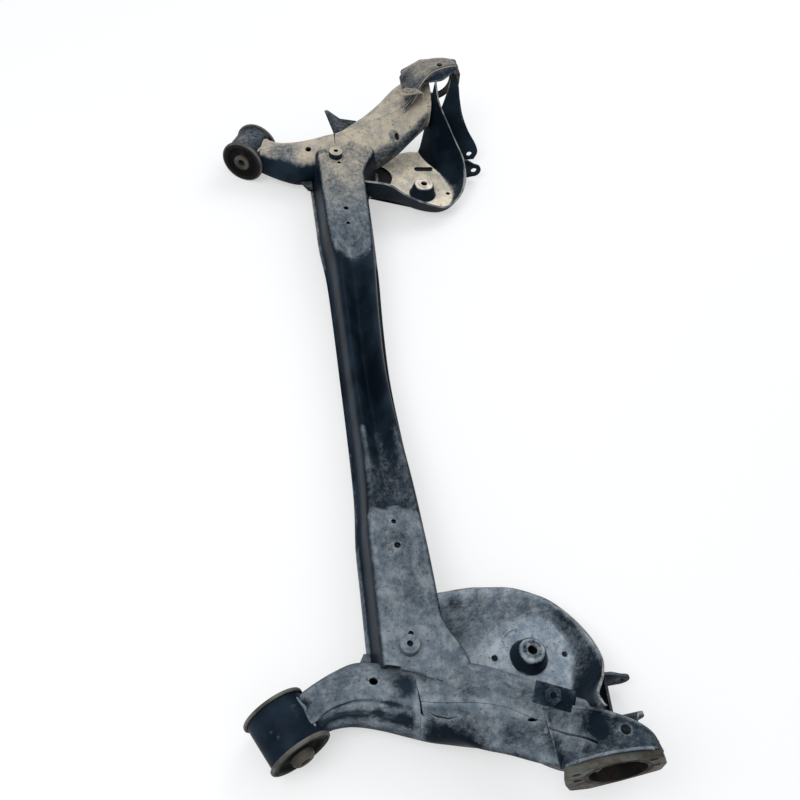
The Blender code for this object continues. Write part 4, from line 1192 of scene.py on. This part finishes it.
def build_hub(envelopes, metal, paint, edge):
    outline = [(FLANGE_FACE_X, y, z) for y, z in rounded(FLANGE_OUTLINE, FLANGE_CORNER)]
    flange = prism("flange", outline, (HUB_PLATE_THICKNESS, 0, 0))
    bevel(flange, 0.0009)
    before, beyond = FLANGE_FACE_X - 0.01, FLANGE_FACE_X + 0.03
    cut(flange, drill("hub_bore", HUB_BORE_RADIUS, (before, HUB_Y, HUB_Z), (beyond, HUB_Y, HUB_Z), 96))
    for y, z in HUB_BOLTS:
        cut(flange, drill("hub_bolt", HUB_BOLT_RADIUS, (before, y, z), (beyond, y, z)))
    keep_both(flange, "hub_flange", "flange_steel", metal, smooth=30)

    back = FLANGE_FACE_X - HUB_COLLAR_LENGTH
    collar_radius = HUB_BORE_RADIUS + HUB_COLLAR_WALL
    collar = turned("collar", [
        (FLANGE_FACE_X, HUB_BORE_RADIUS), (back, HUB_BORE_RADIUS), (back, collar_radius - 0.0010),
        (back + 0.0010, collar_radius), (FLANGE_FACE_X, collar_radius),
    ], HUB_FRAME)
    keep_both(collar, "hub_collar", "flange_steel", metal, node=False)

    rows = []
    for row in through([(*outer, *inner, lip) for inner, outer, lip in CARRIER_ROWS], 8):
        outer, inner, lip = row[:3], row[3:6], row[6]
        drop = max(lip - 0.0028, 0.0004)
        across = [outer + (inner - outer) * k / 12 for k in range(12)]
        roll = [inner + step for step in ((0.0008, 0, 0.0002), (0.0020, 0, -0.0004), (0.0022, 0, -0.0020))]
        roll += [inner + (0.0010 * (1 - k / 5), 0, -0.0028 - k / 5 * drop) for k in range(6)]
        rows.append([*across, *roll])
    carrier = surface("carrier", rows)
    thicken(carrier, PLATE, even=False)
    cut(carrier, envelopes[0], envelopes[3], upright_drill("carrier_drill", CARRIER_HOLE, 0.15, 0.2))
    keep_both(carrier, "hub_carrier", "grey_steel", paint, edge)
    cut_kept(MADE["hub_carrier"][1], mirrored_slit("carrier_groove", CARRIER_GROOVE, 0.10))


def build_damper_mount(envelopes, paint, edge):
    strap = surface("strap", strip_rows([(rear, front) for front, rear in STRAP_ROWS], 8, 14))
    thicken(strap, PLATE)
    ear_end = [(DAMPER_Y - EAR_RADIUS * math.sin(a), DAMPER_Z - EAR_RADIUS * math.cos(a))
               for a in [math.pi * k / 24 for k in range(25)]]
    outline = [(-0.3780, 0.005), (WEB_Y, 0.003), *ear_end, (-0.415, EAR_HEIGHT), (-0.3945, EAR_HEIGHT)]
    ear = prism("ear", [(EAR_X, y, z) for y, z in outline], (PLATE, 0, 0))
    web_end = STRAP_ROWS[-1][0][0] - PLATE - TOUCH_GAP
    web_start = EAR_X + PLATE / 2
    corners = [(web_start, 0.004), (web_end, 0.008), (web_end + 0.0005, 0.036), (web_start, 0.044)]
    web = helper(prism("damper_web", [(x, WEB_Y, z) for x, z in corners], (0, PLATE, 0)))
    join(ear, web)
    start, end = (0.50, DAMPER_Y, DAMPER_Z), (0.60, DAMPER_Y, DAMPER_Z)
    drilled = drill("damper_bolt_line", DAMPER_BOLT_RADIUS, start, end)
    cut(strap, drilled, envelopes[3])
    cut(ear, drilled)
    bevel(ear, 0.0007)
    keep_both(strap, "damper_strap", "beam_steel", paint, edge)
    keep_both(ear, "damper_bracket", "beam_steel", paint)


def build_hose_bracket(olive):
    width, length, sheet = HOSE_PLATE_SIZE
    yaw = Matrix.Rotation(HOSE_PLATE_YAW, 4, "Z")
    tilt = Matrix.Translation(HOSE_PLATE) @ Matrix.Rotation(HOSE_PLATE_TILT, 4, "Y") @ yaw
    profile = [(0.5 * length, 0.0), (0.0, 0.0), (-0.5 * length, 0.0)]
    radius = HOSE_BEND_RADIUS
    for a in np.linspace(0.25, 1.25, 5):
        profile.append((-0.5 * length - radius * math.sin(a), radius * (math.cos(a) - 1)))
    profile += [(profile[-1][0] - 0.3 * HOSE_PLATE_BEND, profile[-1][1] - HOSE_PLATE_BEND)]
    rows = [[tilt @ Vector((x * 0.5 * width, y, sheet + z)) for x in (-1, 0, 1)] for y, z in profile]
    plate = surface("plate", rows)
    thicken(plate, sheet)
    bevel(plate, 0.0008)
    foot = tilt @ Vector((0, 0, sheet + TOUCH_GAP))
    top = tilt @ Vector((0, 0, sheet + TOUCH_GAP + HOSE_NUT_HEIGHT))
    nut = cylinder("nut", HOSE_NUT_RADIUS, foot, top, 6)
    bevel(nut, 0.0007)
    cut(nut, drill("hose_bore", HOSE_BORE_RADIUS, tilt @ Vector((0, 0, -0.01)), tilt @ Vector((0, 0, 0.03))))
    keep_both(plate, "hose_bracket", "beam_steel", olive)
    keep_both(nut, "hose_bracket_nut", "core_steel", olive, smooth=30)


def build_gusset(envelopes, paint):
    gusset = prism("gusset", [(x, y, GUSSET_Z) for x, y in GUSSET_CORNERS], (0, 0, PLATE))
    bevel(gusset, 0.0006)
    cut(gusset, envelopes[2], envelopes[0])
    keep_both(gusset, "corner_gusset", "beam_steel", paint)


def build_boss(paint):
    start = BEAM_TOP_Z + TOUCH_GAP
    boss = cylinder("boss", BOSS_RADIUS, (*BOSS, start), (*BOSS, start + BOSS_HEIGHT), 64)
    bevel(boss, 0.0016, 3)
    cut(boss, upright_drill("boss_drill", (*BOSS, BOSS_BORE_RADIUS), start + 0.004, start + 0.03))
    keep_both(boss, "beam_boss", "grey_steel", paint)


def build_cable_bracket(envelopes, paint):
    along = Vector(CABLE_ALONG).normalized()
    face = along.cross(Vector(CABLE_OUT)).normalized()
    out = face.cross(along)
    corners = [Vector(CABLE_FOOT) + s * along + t * out for s, t in CABLE_OUTLINE]
    cable = prism("cable_bracket_look", corners, face * CABLE_SHEET)
    bevel(cable, 0.0005)
    cut(cable, envelopes[0])
    settle(cable)
    keep(cable, "right_cable_bracket", "grey_steel", paint)


def build_welds(beam, material):
    arms = tree_of(beam, *(MADE[base][0] for base in ("front_arm", "arm_inner_shell", "arm_outer_shell")))
    edge = [(x + 0.0012, y, BEAM_TOP_Z - 0.0035) for x, y in through(TONGUE, 4)[6:-4]]
    weld("tongue_weld", edge, 0.0030, arms, material, 1, sink=0.45)
    bush = tree_of(MADE["front_arm"][0], MADE["bush_housing"][0])
    turn = Matrix.Rotation(-BUSH_TOE, 4, "Z")
    for name, side, seed in (("bush_weld_top", 1, 3), ("bush_weld_bottom", -1, 6.1416)):
        line = []
        for share in np.linspace(-0.5, 0.5, 7):
            point = turn @ Vector((share * BUSH_WELD_LENGTH, BUSH_WELD_Y, 0))
            line.append((BUSH_SPACING / 2 + point.x, point.y, FLANGE_RADIUS + side * BUSH_WELD_RISE))
        weld(name, line, 0.0019, bush, material, seed, sink=0.4)
    for name, line, radius, seed, sink, bases in (
        ("carrier_weld", CARRIER_WELD, 0.0017, 5, 0.35, ("hub_flange", "hub_carrier", "arm_outer_shell")),
        ("carrier_front_weld", CARRIER_FRONT_WELD, 0.0026, 8, 0.20, ("arm_outer_shell", "arm_inner_shell")),
        ("pan_weld", PAN_WELD, 0.0018, 6, 0.35, ("spring_pan", "arm_inner_shell")),
    ):
        weld(name, line, radius, tree_of(*(MADE[base][0] for base in bases)), material, seed, sink)


# Stage


def sheet_of(name, corners, height, material):
    """A flat piece of the stage."""
    mesh = bpy.data.meshes.new(name)
    mesh.from_pydata([(x, y, height) for x, y in corners], [], [tuple(range(len(corners)))])
    mesh.materials.append(material)
    add_object(name, mesh)


def matt(name, tone):
    """A matt grey, as its material and its shader node."""
    material = bpy.data.materials.new(name)
    material.use_nodes = True
    shader = material.node_tree.nodes["Principled BSDF"]
    shader.inputs["Base Color"].default_value = (tone, tone, tone, 1)
    shader.inputs["Roughness"].default_value = 1.0
    return material, shader


def show_white(tree, output, plain, white, share=None):
    """Has the camera see a white shader over a plain one, in full or by a share."""
    seen, mixed = tree.nodes.new("ShaderNodeLightPath"), tree.nodes.new("ShaderNodeMixShader")
    amount = seen.outputs["Is Camera Ray"]
    if share is not None:
        both = tree.nodes.new("ShaderNodeMath")
        both.operation = "MULTIPLY"
        tree.links.new(share, both.inputs[1])
        tree.links.new(amount, both.inputs[0])
        amount = both.outputs[0]
    for socket, value in zip(mixed.inputs, (amount, plain.outputs[0], white.outputs[0])):
        tree.links.new(value, socket)
    tree.links.new(mixed.outputs[0], tree.nodes[output].inputs["Surface"])


def build_floor():
    material, shader = matt("floor_look", FLOOR_TONE)
    shader.inputs["Specular IOR Level"].default_value = 0.0
    tree = material.node_tree
    kinds = ("ShaderNodeNewGeometry", "ShaderNodeVectorMath", "ShaderNodeMapRange", "ShaderNodeEmission")
    place, away, far, glow = (tree.nodes.new(kind) for kind in kinds)
    away.operation = "LENGTH"
    tree.links.new(place.outputs["Position"], away.inputs[0])
    tree.links.new(away.outputs["Value"], far.inputs["Value"])
    for key, number in zip(("From Min", "From Max", "To Min", "To Max"), FLOOR_GLOW):
        far.inputs[key].default_value = number
    show_white(tree, "Material Output", shader, glow, far.outputs["Result"])
    half = FLOOR_HALF
    sheet_of("floor", ((-half, -half), (half, -half), (half, half), (-half, half)), 0, material)

    for name, tone, outline, sides in (
        # Painted shade: a dark sheet under each pan, seen through its holes
        ("shade_under_pan", PAN_SHADE_TONE, PAN_SHADE_OUTLINE, (1, -1)),
        # Painted shade: a darker sheet without glow under the crossbeam, seen through its holes
        ("shaded_floor_under_beam", BEAM_SHADE_TONE, BEAM_SHADE_OUTLINE, (1,)),
    ):
        material = matt(f"{name}_look", tone)[0]
        for side in sides:
            sheet_of(name, [(side * x, y + PLACE.y) for x, y in outline], PATCH_RISE, material)


def build_sky():
    world = bpy.data.worlds.new("studio")
    world.use_nodes = True
    tree = world.node_tree
    sky, white = tree.nodes["Background"], tree.nodes.new("ShaderNodeBackground")
    sky.inputs["Color"].default_value = SKY_COLOUR
    sky.inputs["Strength"].default_value = SKY_STRENGTH
    white.inputs["Color"].default_value = (1, 1, 1, 1)
    show_white(tree, "World Output", sky, white)
    bpy.context.scene.world = world


def build_lights():
    for name, place, size, power in LIGHTS:
        light = bpy.data.lights.new(name, "AREA")
        light.size = size
        light.energy = power
        lamp = add_object(name, light)
        lamp.location = place
        lamp.rotation_euler = (-Vector(place)).to_track_quat("-Z", "Y").to_euler()


def build_camera():
    data = bpy.data.cameras.new("camera")
    data.lens = CAMERA_LENS
    data.sensor_width = 36
    data.clip_start = 0.01
    camera = add_object("camera", data)
    axes = Matrix((CAMERA_RIGHT, -Vector(CAMERA_DOWN), -Vector(CAMERA_AHEAD))).transposed()
    camera.matrix_world = Matrix.Translation(Vector(CAMERA_PLACE) + PLACE) @ axes.to_4x4()
    bpy.context.scene.camera = camera
    bpy.context.scene.view_settings.view_transform = "Standard"


def build_axle():
    edge = edge_paint()
    arm_paint = worn_paint("arm_look", 0.33, 0.06, 0.26, 0.76, ARM_SPOTS, calm=0.85, crest=0.26)
    shell_paint = worn_paint("inner_shell_look", 0.35, 0.40, 0.28, 0.60, SHELL_SPOTS)
    beam_paint = worn_paint(
        "beam_look", 0.06, 0.0, 0.60, 0.58, BEAM_SPOTS, beam=True, crest=0.1, streak=(0.85, 1.1, 1.0)
    )
    # Painted light: the pan's dust colours are scaled about twice as bright, standing in for the light from
    # above on its open floor
    pan_dust_and_light = worn_paint("pan_look", 0.12, -0.30, 0.93, 1.50, PAN_SPOTS, tone=2.0, far_tone=2.1, calm=0.35)
    dark_paint = worn_paint("dark_look", 0.04, -0.22, 0.25, 0.36)
    housing_paint = worn_paint("housing_look", -0.20, -0.12, 0.10, 0.46, HOUSING_SPOTS, crest=0.1)
    carrier_paint = worn_paint("carrier_look", 0.16, 0.24, 0.16, 0.40, CARRIER_SPOTS, far_tone=0.7)
    olive = worn_paint("bracket_look", -0.48, 0.20, 0.12, 0.40, far_tone=0.7, crest=0.7)
    weld_look = worn_paint("weld_look", 0.30, 0.20, 0.30, 0.50)
    bore = (FLANGE_FACE_X + HUB_PLATE_THICKNESS / 2, HUB_Y, HUB_Z)
    flange_metal = dull_metal("flange_look", METAL_OLIVE, 0.42, bore=bore)
    sleeve_metal = dull_metal("sleeve_look", METAL_SLEEVE, 0.12, 0.6, 0.0, coated=FLANGE_RADIUS - 0.0032)
    core_metal = dull_metal("core_look", METAL_CORE, 0.20, 0.55, 0.4)

    envelopes = build_envelopes()
    beam = build_crossbeam(envelopes, beam_paint, edge)
    build_arms(envelopes, arm_paint, edge, shell_paint)
    build_bush(housing_paint, sleeve_metal, rubber_material(), core_metal)
    build_pan(envelopes, pan_dust_and_light, edge)
    build_hub(envelopes, flange_metal, carrier_paint, edge)
    build_damper_mount(envelopes, dark_paint, edge)
    build_hose_bracket(olive)
    build_gusset(envelopes, dark_paint)
    build_boss(arm_paint)
    build_cable_bracket(envelopes, dark_paint)
    build_welds(beam, weld_look)
    for item in CUTTERS:
        bpy.data.objects.remove(item)


build_axle()
build_floor()
build_sky()
build_lights()
build_camera()
